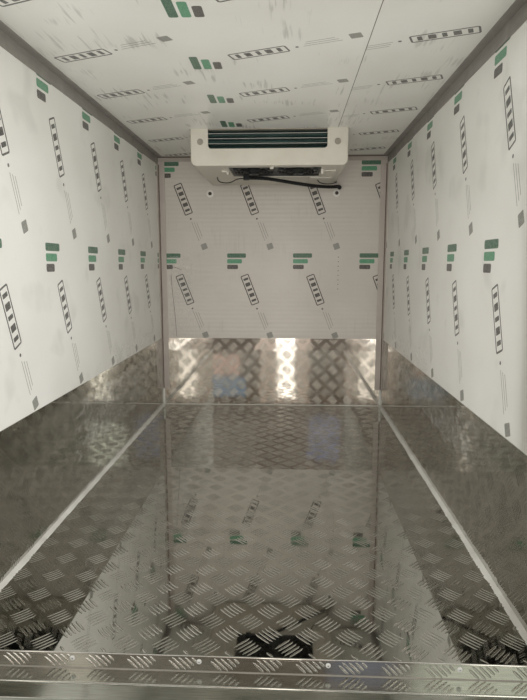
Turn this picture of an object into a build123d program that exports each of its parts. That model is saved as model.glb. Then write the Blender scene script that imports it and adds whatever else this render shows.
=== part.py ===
from build123d import *
import math
import os

# Insulated load box of a small refrigerated truck, in millimetres.
# +Y points to the cab, +X to the right and +Z up. The origin is midway between
# the chassis bolts, on the underside of the runners that lie on the chassis.

# Load space, between its finished faces
inner_width = 1000.0
inner_height = 1105.0
inner_length = 1720.0

# Sandwich panels
wall_thickness = 60.0
bulkhead_thickness = 60.0
roof_thickness = 60.0
floor_thickness = 70.0

# Tread plate on the floor, and the kick plates round it
tread_thickness = 3.0
kick_thickness = 2.0
kick_height = 308.0

# Subframe
runner_width = 60.0
runner_height = 60.0
runner_spacing = 700.0
bearer_width = 40.0
bearer_height = 40.0
bearer_count = 5
bearer_inset = 60.0

# Feet that bolt the runners to the chassis
foot_length = 120.0
foot_reach = 70.0
foot_thickness = 8.0
foot_upright = 45.0
bolt_spacing_y = 1200.0
bolt_offset = 42.0
bolt_hole_radius = 6.5

# Rear frame, with a step for the doors all round
rabbet = 28.0
ledge_depth = 36.0
outer_ledge_depth = 34.0
outer_ledge_drop = 2.0
frame_edge_radius = 5.0

# Angles in the corners of the load space
angle_thickness = 2.0
ceiling_leg = 22.0
ceiling_wall_leg = 34.0
corner_leg = 30.0
corner_thickness = 4.0
corner_foot = 75.0

# Beads of sealant along the floor and up the front corners
bead_width = 12.0
bead_height = 8.0
front_bead_size = 4.0
corner_bead_size = 8.0
bead_gap = 0.3

# Rails on the outer edges of the panels
rail_leg = 45.0
rail_thickness = 3.0

# Evaporator, hung from the ceiling at the bulkhead
unit_x = 6.0
unit_width = 547.0
unit_height = 125.0
unit_reach = 516.0
unit_back_gap = 1.0
unit_wall = 4.0
fascia_thickness = 10.0
unit_corner_radius = 20.0
unit_edge_radius = 5.0
outlet_x = 1.0
outlet_width = 413.0
outlet_height = 67.0
outlet_corner_radius = 12.0
louvre_count = 3
louvre_thickness = 2.5
louvre_depth = 14.0
louvre_inset = 2.0
coil_inset = 24.0
coil_depth = 48.0
coil_width = 430.0
coil_top_gap = 4.0
intake_x = 25.0
intake_width = 330.0
intake_depth = 225.0
intake_inset = 41.0

# Fans under the evaporator
fan_plate_lap = 6.0
fan_plate_thickness = 4.0
fan_spacing = 165.0
fan_hole_radius = 75.0
fan_radius = 68.0
fan_hub_radius = 24.0
fan_hub_height = 26.0
fan_lift = 0.5
fan_blades = 5
fan_arms = 4
fan_arm_width = 8.0
fan_arm_sink = 1.0
fan_blade_sink = 2.5
fan_boss_radius = 20.0
fan_blade_chord = 38.0
fan_blade_thickness = 2.0
fan_blade_angle = 25.0
shaft_radius = 4.0
shaft_clearance = 0.3

# Loom and wires below the evaporator
loom_radius = 7.0
loom_points = [  # x from the middle of the unit, y back from the bulkhead, z down from the unit's underside
    (-86.0, 270.0, 6.0),
    (-34.0, 270.0, 6.0),
    (38.0, 246.0, 14.0),
    (112.0, 200.0, 20.0),
    (184.0, 146.0, 23.0),
    (248.0, 96.0, 20.0),
    (288.0, 48.0, 10.0),
]
grommet_radius = 9.0
grommet_length = 6.0
clip_length = 22.0
clip_width = 20.0
clip_depth = 18.0
wire_radius = 2.0
arc_share = 0.45
left_wire = [  # x, y and z measured like the loom's
    (-212.0, 254.0, 14.0),
    (-190.0, 258.0, 23.0),
    (-158.0, 264.0, 23.0),
    (-132.0, 270.0, 8.0),
]
right_wire = [  # x, y and z measured like the loom's
    (182.0, 220.0, 15.0),
    (210.0, 190.0, 20.0),
    (244.0, 145.0, 14.0),
    (266.0, 95.0, 0.0),
    (273.0, 40.0, -9.0),
]

# Through bolts of the bulkhead
through_bolt_spacing = 553.0
through_bolt_height = 947.0
washer_radius = 16.0
washer_thickness = 3.0
cap_radius = 8.0
cap_height = 7.0

# Condenser on the outside of the bulkhead
condenser_width = 760.0
condenser_height = 330.0
condenser_depth = 182.0
condenser_wall = 4.0
condenser_corner_radius = 30.0
condenser_edge_radius = 8.0
condenser_rail_height = 50.0
condenser_rail_thickness = 8.0
condenser_rail_overhang = 20.0
condenser_rail_spacing = 250.0
condenser_hole_radius = 95.0
condenser_fan_radius = 88.0
condenser_fan_spacing = 330.0
condenser_hub_radius = 30.0
condenser_hub_depth = 28.0
condenser_blades = 7
condenser_blade_chord = 46.0
condenser_blade_angle = 28.0
condenser_coil_depth = 45.0
condenser_coil_margin = 12.0
condenser_bar_height = 34.0
motor_radius = 28.0
motor_depth = 52.0
motor_gap = 0.5
guard_thickness = 4.0
guard_ring_width = 3.0
guard_rings = 4
guard_arms = 6

# Doors, hinged on the rear posts and folded back along the walls
door_thickness = 64.0
leaf_edge_radius = 4.0
door_gap = 6.0
door_centre_gap = 12.0
gasket_gap = 5.5
gasket_thickness = 6.0
gasket_width = 18.0

# Hinges
pin_radius = 6.0
pin_clearance = 0.3
pin_out = 30.0
pin_back = 25.0
knuckle_radius = 12.0
knuckle_height = 50.0
knuckle_gap = 1.0
ear_thickness = 14.0
ear_radius = 13.0
hinge_base_thickness = 6.0
hinge_base_depth = 26.0
hinge_base_inset = 2.0
strap_thickness = 5.0
strap_length = 260.0
strap_neck = 24.0
hinge_inset = 160.0
hinge_count = 3

# Lock gear on the outer faces of the doors
rod_radius = 8.0
rod_standoff = 16.0
rod_from_edge = 84.0
guide_width = 28.0
guide_cover = 2.0
guide_height = 24.0
guide_count = 4
guide_inset = 120.0
cam_reach = 26.0
cam_height = 24.0
cam_thickness = 14.0
cam_end_gap = 2.0
handle_height = 420.0
handle_length = 190.0
handle_thickness = 8.0
handle_width = 28.0
handle_out = 32.0
rest_width = 30.0
keeper_width = 60.0
keeper_inset = 48.0
keeper_thickness = 3.0
keeper_rib = 5.0

# Stops for the open doors
buffer_radius = 18.0
buffer_gap = 5.5
buffer_from_hinge = 250.0
buffer_heights = (250.0, 900.0)
catch_width = 12.0
catch_base = 6.0
catch_height = 60.0
catch_gap = 6.0
catch_height_above_floor = 560.0

# Heights, from the runners upward
bearer_bottom = runner_height
panel_bottom = bearer_bottom + bearer_height
tread_bottom = panel_bottom + floor_thickness
load_floor = tread_bottom + tread_thickness
ceiling = load_floor + inner_height
roof_top = ceiling + roof_thickness
sill_top = load_floor - rabbet
header_bottom = ceiling + rabbet

# Places across and along the box
wall_inner = inner_width / 2
wall_outer = wall_inner + wall_thickness
fold_y = -inner_length / 2
bulkhead_y = inner_length / 2
front_y = bulkhead_y + bulkhead_thickness
frame_depth = ledge_depth + outer_ledge_depth
rear_y = fold_y - frame_depth

# Hinge line of the right-hand door, and the door about it
pin_x = wall_outer + pin_out
pin_y = rear_y - pin_back
leaf_inner_face = gasket_gap + gasket_thickness
leaf_face_in = fold_y - leaf_inner_face - pin_y
leaf_face_out = leaf_face_in - door_thickness
leaf_start = pin_x - (wall_inner + rabbet - door_gap)
leaf_end = pin_x - door_centre_gap / 2
leaf_bottom = sill_top + door_gap
leaf_top = header_bottom - door_gap

os.makedirs("parts", exist_ok=True)


def save(name, shape):
    """Writes one node."""
    export_step(shape, f"parts/{name}.step")


def block(x0, x1, y0, y1, z0, z1):
    """A box between two corners."""
    centre = ((x0 + x1) / 2, (y0 + y1) / 2, (z0 + z1) / 2)
    return Pos(*centre) * Box(x1 - x0, y1 - y0, z1 - z0)


def upright_cylinder(x, y, z0, z1, radius):
    """A cylinder along Z."""
    return Pos(x, y, (z0 + z1) / 2) * Cylinder(radius, z1 - z0)


def forward_cylinder(x, z, y0, y1, radius):
    """A cylinder along Y."""
    return Pos(x, (y0 + y1) / 2, z) * Rot(90, 0, 0) * Cylinder(radius, y1 - y0)


def across_cylinder(y, z, x0, x1, radius):
    """A cylinder along X."""
    return Pos((x0 + x1) / 2, y, z) * Rot(0, 90, 0) * Cylinder(radius, x1 - x0)


def mirrored(shape):
    """The left-hand copy of a right-hand piece."""
    return mirror(shape, Plane.YZ)


def pair(shape):
    """A right-hand piece and its left-hand copy, in one node."""
    return Compound(children=[shape, mirrored(shape)])


def spread(first, last, count):
    """Evenly spaced places, with both ends."""
    return [first + (last - first) * i / (count - 1) for i in range(count)]


# Subframe: a runner over each chassis rail, with feet, and bearers across them
def runner():
    inner = runner_spacing / 2 - runner_width / 2
    outer = runner_spacing / 2 + runner_width / 2
    shape = block(inner, outer, rear_y, front_y, 0, runner_height)
    for y in (-bolt_spacing_y / 2, bolt_spacing_y / 2):
        y0, y1 = y - foot_length / 2, y + foot_length / 2
        shape += block(outer, outer + foot_reach, y0, y1, 0, foot_thickness)
        shape += block(outer, outer + foot_thickness, y0, y1, 0, foot_upright)
        hole_x = outer + bolt_offset
        shape -= upright_cylinder(hole_x, y, 0, foot_thickness, bolt_hole_radius)
    return shape


right_runner = runner()
save("right_runner", right_runner)
save("left_runner", mirrored(right_runner))

bearer_ends = bearer_width / 2 + bearer_inset
bearer_places = spread(fold_y + bearer_ends, front_y - bearer_ends, bearer_count)
bearers = [
    block(-wall_outer, wall_outer, y - bearer_width / 2, y + bearer_width / 2, bearer_bottom, panel_bottom)
    for y in bearer_places
]
save("cross_bearers", Compound(children=bearers))

# Panels
save("floor_panel", block(-wall_inner, wall_inner, fold_y, bulkhead_y, panel_bottom, tread_bottom))
right_wall = block(wall_inner, wall_outer, fold_y, bulkhead_y, panel_bottom, ceiling)
save("right_wall_panel", right_wall)
save("left_wall_panel", mirrored(right_wall))
save("front_panel", block(-wall_outer, wall_outer, bulkhead_y, front_y, panel_bottom, ceiling))
save("roof_panel", block(-wall_outer, wall_outer, fold_y, front_y, ceiling, roof_top))

# Tread plate, folded down over the end of the floor
tread = block(-wall_inner, wall_inner, fold_y, bulkhead_y, tread_bottom, load_floor)
tread += block(-wall_inner, wall_inner, fold_y - tread_thickness, fold_y, sill_top, load_floor)
save("floor_tread_plate", tread)

kick_top = load_floor + kick_height
kick_face = wall_inner - kick_thickness
right_kick = block(kick_face, wall_inner, fold_y, bulkhead_y, load_floor, kick_top)
front_kick = block(-kick_face, kick_face, bulkhead_y - kick_thickness, bulkhead_y, load_floor, kick_top)
save("side_kick_plates", pair(right_kick))
save("front_kick_plate", front_kick)

# Angles along the ceiling and up the front corners
angle_x = wall_inner - ceiling_leg
right_angle = block(angle_x, wall_inner, fold_y, bulkhead_y, ceiling - angle_thickness, ceiling)
angle_face = wall_inner - angle_thickness
right_angle += block(angle_face, wall_inner, fold_y, bulkhead_y, ceiling - ceiling_wall_leg, ceiling)
save("ceiling_side_angles", pair(right_angle))

angle_y = bulkhead_y - ceiling_leg
front_angle = block(-angle_x, angle_x, angle_y, bulkhead_y, ceiling - angle_thickness, ceiling)
front_angle_face = bulkhead_y - angle_thickness
front_angle += block(
    -angle_face, angle_face, front_angle_face, bulkhead_y, ceiling - ceiling_leg, ceiling - angle_thickness
)
save("ceiling_front_angle", front_angle)

corner_bottom = load_floor + corner_foot
corner_top = ceiling - ceiling_wall_leg
corner_x = wall_inner - corner_leg
corner = block(corner_x, wall_inner, bulkhead_y - corner_thickness, bulkhead_y, corner_bottom, corner_top)
corner += block(
    wall_inner - corner_thickness, wall_inner, bulkhead_y - corner_leg, bulkhead_y, corner_bottom, corner_top
)
corner += block(
    corner_x, angle_face, bulkhead_y - corner_thickness, bulkhead_y, corner_top, ceiling - ceiling_leg
)
corner -= right_kick
corner -= front_kick
save("corner_angles", pair(corner))

# Beads of sealant: low triangles along the foot of each kick plate and up the two front corners
bead_y = bulkhead_y - kick_thickness
bead_profile = Plane.XZ.offset(-bead_y) * Polygon(
    (kick_face, load_floor),
    (kick_face, load_floor + bead_height),
    (kick_face - bead_width, load_floor),
    align=None,
)
right_bead = extrude(bead_profile, amount=bead_y - fold_y)
corner_profile = Plane.XY.offset(load_floor) * Polygon(
    (kick_face, bead_y),
    (kick_face - corner_bead_size, bead_y),
    (kick_face, bead_y - corner_bead_size),
    align=None,
)
right_bead += extrude(corner_profile, amount=corner_bottom - load_floor)
across = kick_face - bead_width - bead_gap
front_profile = Plane.YZ.offset(-across) * Polygon(
    (bead_y, load_floor),
    (bead_y, load_floor + front_bead_size),
    (bead_y - front_bead_size, load_floor),
    align=None,
)
front_bead = extrude(front_profile, amount=2 * across)
save("floor_sealant", Compound(children=[right_bead, mirrored(right_bead), front_bead]))

# Rear frame
opening_x = wall_inner + rabbet
sill = block(-wall_outer, wall_outer, rear_y, fold_y, bearer_bottom, sill_top)
sill = fillet(sill.edges().filter_by(Axis.X).group_by(Axis.Z)[0].group_by(Axis.Y)[0], frame_edge_radius)
outer_ledge_y = rear_y + outer_ledge_depth
sill -= block(-opening_x, opening_x, rear_y, outer_ledge_y, sill_top - outer_ledge_drop, sill_top)
save("rear_sill", sill)
right_post = block(opening_x, wall_outer, rear_y, fold_y, sill_top, header_bottom)
post_edge = right_post.edges().filter_by(Axis.Z).group_by(Axis.Y)[0].sort_by(Axis.X)[-1]
right_post = fillet(post_edge, frame_edge_radius)
save("right_rear_post", right_post)
save("left_rear_post", mirrored(right_post))
header = block(-wall_outer, wall_outer, rear_y, fold_y, header_bottom, roof_top)
header = fillet(header.edges().filter_by(Axis.X).group_by(Axis.Z)[-1].group_by(Axis.Y)[0], frame_edge_radius)
save("rear_header", header)

# Rails on the outer edges
out = wall_outer + rail_thickness
above = roof_top + rail_thickness
ahead = front_y + rail_thickness
rail_inner = wall_outer - rail_leg
side_rail = block(wall_outer, out, fold_y, front_y, roof_top - rail_leg, above)
side_rail += block(rail_inner, wall_outer, fold_y, front_y, roof_top, above)
roof_rail = block(-out, out, front_y, ahead, roof_top - rail_leg, above)
roof_rail += block(-rail_inner, rail_inner, front_y - rail_leg, front_y, roof_top, above)
roof_rail += side_rail
roof_rail += mirrored(side_rail)
save("roof_rail", roof_rail)
rail_top = roof_top - rail_leg
rail_foot = panel_bottom + rail_leg
corner_rail = block(wall_outer, out, front_y - rail_leg, front_y, rail_foot, rail_top)
corner_rail += block(rail_inner, out, front_y, ahead, rail_foot, rail_top)
save("front_corner_rails", pair(corner_rail))
side_base = block(wall_outer, out, fold_y, front_y, panel_bottom, rail_foot)
base_rail = block(-out, out, front_y, ahead, panel_bottom, rail_foot)
base_rail += side_base
base_rail += mirrored(side_base)
save("base_rail", base_rail)

# Evaporator shell: a tray open at the top, with the outlet in its front
unit_front = bulkhead_y - unit_reach
unit_back = bulkhead_y - ceiling_leg - unit_back_gap
unit_bottom = ceiling - unit_height
unit_left = unit_x - unit_width / 2
unit_right = unit_x + unit_width / 2


def tray_profile(x0, x1, z0, radius):
    """A rectangle up to the ceiling, with its two lower corners rounded."""
    width = x1 - x0
    height = ceiling - z0
    face = Pos((x0 + x1) / 2, (z0 + ceiling) / 2) * Rectangle(width, height)
    lower = face.vertices().sort_by(Axis.Y)[:2]
    return fillet(lower, radius)


def along_y(profile, y0, y1):
    """A profile drawn in X and Z, carried from y0 to y1."""
    return extrude(Plane.XZ.offset(-y1) * profile, amount=y1 - y0)


inner_radius = unit_corner_radius - unit_wall
shell = along_y(tray_profile(unit_left, unit_right, unit_bottom, unit_corner_radius), unit_front, unit_back)
fascia_edges = shell.faces().sort_by(Axis.Y)[0].edges()
front_edges = [e for e in fascia_edges if e.center().Z < ceiling - unit_edge_radius]
shell = fillet(front_edges, unit_edge_radius)
cavity = tray_profile(unit_left + unit_wall, unit_right - unit_wall, unit_bottom + unit_wall, inner_radius)
shell -= along_y(cavity, unit_front + fascia_thickness, unit_back - unit_wall)
outlet_left = outlet_x - outlet_width / 2
outlet_right = outlet_x + outlet_width / 2
outlet_bottom = ceiling - outlet_height
outlet = tray_profile(outlet_left, outlet_right, outlet_bottom, outlet_corner_radius)
shell -= along_y(outlet, unit_front, unit_front + fascia_thickness)
intake_front = unit_front + intake_inset
intake_left = intake_x - intake_width / 2
intake_right = intake_x + intake_width / 2
intake_back = intake_front + intake_depth
shell -= block(intake_left, intake_right, intake_front, intake_back, unit_bottom, unit_bottom + unit_wall)
save("evaporator_shell", shell)

louvre_pitch = outlet_height / (louvre_count + 1)
louvres = []
for i in range(louvre_count):
    z = outlet_bottom + louvre_pitch * (i + 1)
    y = unit_front + louvre_inset
    half = louvre_thickness / 2
    louvres.append(block(outlet_left, outlet_right, y, y + louvre_depth, z - half, z + half))
save("evaporator_louvres", Compound(children=louvres))

plate_z0 = unit_bottom + unit_wall
plate_z1 = plate_z0 + fan_plate_thickness
coil_front = unit_front + coil_inset
coil = block(
    outlet_x - coil_width / 2, outlet_x + coil_width / 2, coil_front, coil_front + coil_depth,
    plate_z1, ceiling - coil_top_gap,
)
save("evaporator_coil", coil)

# Fan plate, with a boss on arms in each hole, and a shaft on each boss
fan_y = intake_front + intake_depth / 2
fan_places = (intake_x - fan_spacing / 2, intake_x + fan_spacing / 2)
lap = fan_plate_lap
fan_plate = block(
    intake_left - lap, intake_right + lap, intake_front - lap, intake_back + lap, plate_z0, plate_z1
)
hub_z0 = plate_z1 + fan_lift
hub_z1 = hub_z0 + fan_hub_height
for x in fan_places:
    fan_plate -= upright_cylinder(x, fan_y, plate_z0, plate_z1, fan_hole_radius)
    for i in range(fan_arms):
        turn = Rot(0, 0, 45 + 360 * i / fan_arms)
        arm = block(
            0, fan_hole_radius + fan_arm_sink, -fan_arm_width / 2, fan_arm_width / 2, plate_z0, plate_z1
        )
        fan_plate += Pos(x, fan_y, 0) * turn * arm
    fan_plate += upright_cylinder(x, fan_y, plate_z0, plate_z1, fan_boss_radius)
    fan_plate += upright_cylinder(x, fan_y, plate_z1, hub_z1, shaft_radius)
save("evaporator_fan_plate", fan_plate)


def fan(radius, hub_radius, hub_height, blades, chord, angle, bore):
    """A fan about Z, standing on z = 0."""
    shape = Pos(0, 0, hub_height / 2) * Cylinder(hub_radius, hub_height)
    root = hub_radius - fan_blade_sink
    blade = Box(radius - root, chord, fan_blade_thickness)
    blade = Pos((radius + root) / 2, 0, hub_height / 2) * Rot(angle, 0, 0) * blade
    for i in range(blades):
        shape += Rot(0, 0, 360 * i / blades) * blade
    shape &= Pos(0, 0, hub_height / 2) * Cylinder(radius, hub_height)
    return shape - Pos(0, 0, hub_height / 2) * Cylinder(bore, hub_height)


evaporator_fan = fan(
    fan_radius, fan_hub_radius, fan_hub_height, fan_blades, fan_blade_chord, fan_blade_angle,
    shaft_radius + shaft_clearance,
)
for side, x in zip(("left", "right"), fan_places):
    save(f"evaporator_fan_{side}", Pos(x, fan_y, hub_z0) * evaporator_fan)


# Loom and wires, on straight runs joined by arcs
def tube(points, radius):
    """A round tube along the points, with arcs as large as the runs allow."""
    vectors = [Vector(*p) for p in points]
    radii = []
    for before, here, after in zip(vectors, vectors[1:], vectors[2:]):
        run_in = here - before
        run_out = after - here
        half_turn = math.radians(run_in.get_angle(run_out)) / 2
        radii.append(arc_share * min(run_in.length, run_out.length) / math.tan(half_turn))
    path = FilletPolyline(*vectors, radius=radii)
    section = Plane(origin=vectors[0], z_dir=vectors[1] - vectors[0]) * Circle(radius)
    return sweep(section, path)


def from_unit(point):
    """A place given from the unit's middle, the bulkhead and the unit's underside."""
    x, back, down = point
    return (unit_x + x, bulkhead_y - back, unit_bottom - down)


loom_route = [from_unit(p) for p in loom_points]
loom_start = loom_route[0]
end_x, _, end_z = loom_route[-1]
loom_route.append((end_x, bulkhead_y - grommet_length, end_z))
save("evaporator_loom", tube(loom_route, loom_radius))

clip_x = loom_start[0] - clip_length
clip = block(
    clip_x, loom_start[0], loom_start[1] - clip_width / 2, loom_start[1] + clip_width / 2,
    plate_z0 - clip_depth, plate_z0,
)
grommet = forward_cylinder(end_x, end_z, bulkhead_y - grommet_length, bulkhead_y, grommet_radius)
save("loom_fittings", Compound(children=[clip, grommet]))

left_route = [from_unit(p) for p in left_wire]
left_route.insert(0, (left_route[0][0], left_route[0][1], unit_bottom))
left_route.append((clip_x, left_route[-1][1], left_route[-1][2]))
right_route = [from_unit(p) for p in right_wire]
right_route.insert(0, (right_route[0][0], right_route[0][1], unit_bottom))
right_route.append((right_route[-1][0], bulkhead_y, right_route[-1][2]))
save("fan_wires", Compound(children=[tube(left_route, wire_radius), tube(right_route, wire_radius)]))

# Heads of the through bolts, each on a round washer
bolt_z = load_floor + through_bolt_height
bolt_places = (unit_x - through_bolt_spacing / 2, unit_x + through_bolt_spacing / 2)
heads = []
for x in bolt_places:
    washer_y = bulkhead_y - washer_thickness
    head = forward_cylinder(x, bolt_z, washer_y, bulkhead_y, washer_radius)
    heads.append(head + forward_cylinder(x, bolt_z, washer_y - cap_height, washer_y, cap_radius))
save("bulkhead_bolts", Compound(children=heads))

# Condenser on two rails
rail_half = condenser_width / 2 + condenser_rail_overhang
case_back = front_y + condenser_rail_thickness
case_front = case_back + condenser_depth
case_z = bolt_z - condenser_rail_spacing / 2
rails = []
for z in (bolt_z, bolt_z - condenser_rail_spacing):
    z0, z1 = z - condenser_rail_height / 2, z + condenser_rail_height / 2
    rails.append(block(unit_x - rail_half, unit_x + rail_half, front_y, case_back, z0, z1))
save("condenser_rails", Compound(children=rails))

outline = Pos(unit_x, case_z) * RectangleRounded(condenser_width, condenser_height, condenser_corner_radius)
inside = Pos(unit_x, case_z) * RectangleRounded(
    condenser_width - 2 * condenser_wall, condenser_height - 2 * condenser_wall,
    condenser_corner_radius - condenser_wall,
)
save("condenser_back", along_y(outline, case_back, case_back + condenser_wall))
case = along_y(outline, case_back + condenser_wall, case_front)
case = fillet(case.faces().sort_by(Axis.Y)[-1].edges(), condenser_edge_radius)
case -= along_y(inside, case_back + condenser_wall, case_front - condenser_wall)
condenser_fans = (unit_x - condenser_fan_spacing / 2, unit_x + condenser_fan_spacing / 2)
for x in condenser_fans:
    case -= forward_cylinder(x, case_z, case_front - condenser_wall, case_front, condenser_hole_radius)
save("condenser_case", case)

margin = condenser_corner_radius + condenser_coil_margin
condenser_coil = block(
    unit_x - condenser_width / 2 + margin, unit_x + condenser_width / 2 - margin,
    case_back + condenser_wall, case_back + condenser_wall + condenser_coil_depth,
    case_z - condenser_height / 2 + margin, case_z + condenser_height / 2 - margin,
)
save("condenser_coil", condenser_coil)

bar_y = case_back + condenser_wall + condenser_coil_depth
bar = block(
    unit_x - condenser_width / 2 + condenser_wall, unit_x + condenser_width / 2 - condenser_wall,
    bar_y, bar_y + condenser_wall, case_z - condenser_bar_height / 2, case_z + condenser_bar_height / 2,
)
motor_y = bar_y + condenser_wall
hub_y = motor_y + motor_depth + motor_gap
for x in condenser_fans:
    bar += forward_cylinder(x, case_z, motor_y, motor_y + motor_depth, motor_radius)
    bar += forward_cylinder(x, case_z, motor_y + motor_depth, hub_y + condenser_hub_depth, shaft_radius)
save("condenser_motors", bar)

condenser_fan = fan(
    condenser_fan_radius, condenser_hub_radius, condenser_hub_depth, condenser_blades,
    condenser_blade_chord, condenser_blade_angle, shaft_radius + shaft_clearance,
)
for side, x in zip(("left", "right"), condenser_fans):
    save(f"condenser_fan_{side}", Pos(x, hub_y, case_z) * Rot(-90, 0, 0) * condenser_fan)

guards = []
guard_radius = condenser_hole_radius + guard_ring_width
ring_step = guard_radius / guard_rings
for x in condenser_fans:
    flat = Circle(guard_radius) - Circle(guard_radius - 2 * guard_ring_width)
    for i in range(1, guard_rings):
        flat += Circle(ring_step * i + guard_ring_width / 2) - Circle(ring_step * i - guard_ring_width / 2)
    for i in range(guard_arms):
        arm = Pos(guard_radius / 2, 0) * Rectangle(guard_radius - guard_ring_width, guard_ring_width)
        flat += Rot(0, 0, 360 * i / guard_arms) * arm
    guards.append(along_y(Pos(x, case_z) * flat, case_front, case_front + guard_thickness))
save("condenser_guards", Compound(children=guards))


# Doors: everything about the pin, with u along the leaf and v from the wall outward
def door_block(u0, u1, v0, v1, z0, z1):
    """A box on the right-hand door, folded back along the wall."""
    return block(pin_x + v0, pin_x + v1, pin_y + u0, pin_y + u1, z0, z1)


leaf = door_block(leaf_start, leaf_end, leaf_face_out, leaf_face_in, leaf_bottom, leaf_top)
leaf = fillet(leaf.edges().filter_by(Axis.Z).group_by(Axis.X)[0], leaf_edge_radius)
save("right_door_leaf", leaf)
save("left_door_leaf", mirrored(leaf))

gasket_face = leaf_face_in + gasket_thickness
gasket = door_block(leaf_start, leaf_end, leaf_face_in, gasket_face, leaf_bottom, leaf_top)
gasket -= door_block(
    leaf_start + gasket_width, leaf_end - gasket_width, leaf_face_in, gasket_face,
    leaf_bottom + gasket_width, leaf_top - gasket_width,
)
save("right_door_gasket", gasket)
save("left_door_gasket", mirrored(gasket))

ear_flank = ear_radius / math.sqrt(2)
hinge_heights = spread(leaf_bottom + hinge_inset, leaf_top - hinge_inset, hinge_count)
straps = []
brackets = []
for z in hinge_heights:
    z0, z1 = z - knuckle_height / 2, z + knuckle_height / 2
    strap = upright_cylinder(pin_x, pin_y, z0, z1, knuckle_radius)
    strap += door_block(0, strap_neck, 0, leaf_face_out, z0, z1)
    strap += door_block(strap_neck, strap_length, leaf_face_out - strap_thickness, leaf_face_out, z0, z1)
    strap -= upright_cylinder(pin_x, pin_y, z0, z1, pin_radius + pin_clearance)
    straps.append(strap)
    ear_z0, ear_z1 = z0 - knuckle_gap - ear_thickness, z1 + knuckle_gap + ear_thickness
    base_y1 = rear_y + hinge_base_inset + hinge_base_depth
    bracket = block(
        wall_outer, wall_outer + hinge_base_thickness, rear_y + hinge_base_inset, base_y1, ear_z0, ear_z1
    )
    cheek = Polygon(
        (wall_outer, rear_y + hinge_base_inset),
        (pin_x - ear_flank, pin_y - ear_flank),
        (pin_x + ear_flank, pin_y + ear_flank),
        (wall_outer + hinge_base_thickness, base_y1),
        (wall_outer, base_y1),
        align=None,
    )
    cheek += Pos(pin_x, pin_y) * Circle(ear_radius)
    for low, high in ((ear_z0, z0 - knuckle_gap), (z1 + knuckle_gap, ear_z1)):
        bracket += extrude(Plane.XY.offset(low) * cheek, amount=high - low)
    bracket += upright_cylinder(pin_x, pin_y, ear_z0, ear_z1, pin_radius)
    brackets.append(bracket)
save("right_hinge_straps", Compound(children=straps))
save("left_hinge_straps", mirrored(Compound(children=straps)))
brackets += [mirrored(b) for b in brackets]
save("hinge_brackets", Compound(children=brackets))

# Lock gear: a rod with cams at its ends, its guides, a handle and the handle's rest
rod_u = leaf_end - rod_from_edge
rod_v = leaf_face_out - rod_standoff
rod_bottom = bearer_bottom + keeper_inset
rod_top = roof_top - cam_end_gap
gear = upright_cylinder(pin_x + rod_v, pin_y + rod_u, rod_bottom, rod_top, rod_radius)
for z in spread(leaf_bottom + guide_inset, leaf_top - guide_inset, guide_count):
    gear += door_block(
        rod_u - guide_width / 2, rod_u + guide_width / 2, rod_v - rod_radius - guide_cover, leaf_face_out,
        z - guide_height / 2, z + guide_height / 2,
    )
for z in (rod_bottom, rod_top - cam_height):
    half = cam_thickness / 2
    gear += door_block(rod_u, rod_u + cam_reach, rod_v - half, rod_v + half, z, z + cam_height)
handle_z = load_floor + handle_height
handle_v = leaf_face_out - handle_out
gear += door_block(
    rod_u - handle_length, rod_u + handle_width / 2, handle_v, handle_v + handle_thickness,
    handle_z - handle_width / 2, handle_z + handle_width / 2,
)
gear += door_block(
    rod_u - handle_width / 2, rod_u + handle_width / 2, handle_v, rod_v + rod_radius,
    handle_z - handle_width / 2, handle_z + handle_width / 2,
)
gear += door_block(
    rod_u - handle_length, rod_u - handle_length + rest_width, handle_v + handle_thickness, leaf_face_out,
    handle_z - handle_width / 2, handle_z + handle_width / 2,
)
save("right_lock_gear", gear)
save("left_lock_gear", mirrored(gear))

# Keepers on the sill and the header, behind the cams of the closed doors
keeper_x = pin_x - rod_u
keepers = []
for x in (-keeper_x, keeper_x):
    for z in (rod_bottom, rod_top - cam_height):
        y = rear_y - keeper_thickness
        x0, x1 = x - keeper_width / 2, x + keeper_width / 2
        keeper = block(x0, x1, y, rear_y, z, z + cam_height)
        keeper += block(x0, x0 + keeper_rib, y - keeper_rib, y, z, z + cam_height)
        keeper += block(x1 - keeper_rib, x1, y - keeper_rib, y, z, z + cam_height)
        keepers.append(keeper)
save("lock_keepers", Compound(children=keepers))

# Rubber buffers and catches on the walls, for the open doors
buffer_face = pin_x + leaf_face_out - buffer_gap
buffer_y = pin_y + buffer_from_hinge
buffers = []
for z in buffer_heights:
    buffers.append(across_cylinder(buffer_y, load_floor + z, wall_outer, buffer_face, buffer_radius))
buffers += [mirrored(b) for b in buffers]
save("door_buffers", Compound(children=buffers))

catch_y = pin_y + leaf_end + catch_gap
catch_z = load_floor + catch_height_above_floor
catch = block(
    wall_outer, pin_x + leaf_face_out + catch_width, catch_y, catch_y + catch_width,
    catch_z - catch_height / 2, catch_z + catch_height / 2,
)
catch += block(
    wall_outer, wall_outer + catch_base, catch_y, catch_y + catch_height,
    catch_z - catch_height / 2, catch_z + catch_height / 2,
)
save("door_catches", pair(catch))
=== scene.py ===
# %% [markdown]
# A refrigerated box body, seen through its open rear doorway.
#
# The solid pieces of the box are already there: panels, plates, doors, hinges and fans, at their real
# size in metres. This lesson dresses them. It rounds their edges, adds what is too small for the solids,
# such as the bars of the tread plate, and gives every surface the finish of its real material. +Y points
# to the bulkhead, +X to the right, +Z up, and each piece is drawn straight into that frame, so nothing
# has to be fitted afterwards.

# %% Load the solids
import bmesh
import bpy
import math
import random
from mathutils import Matrix, Vector, noise


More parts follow.
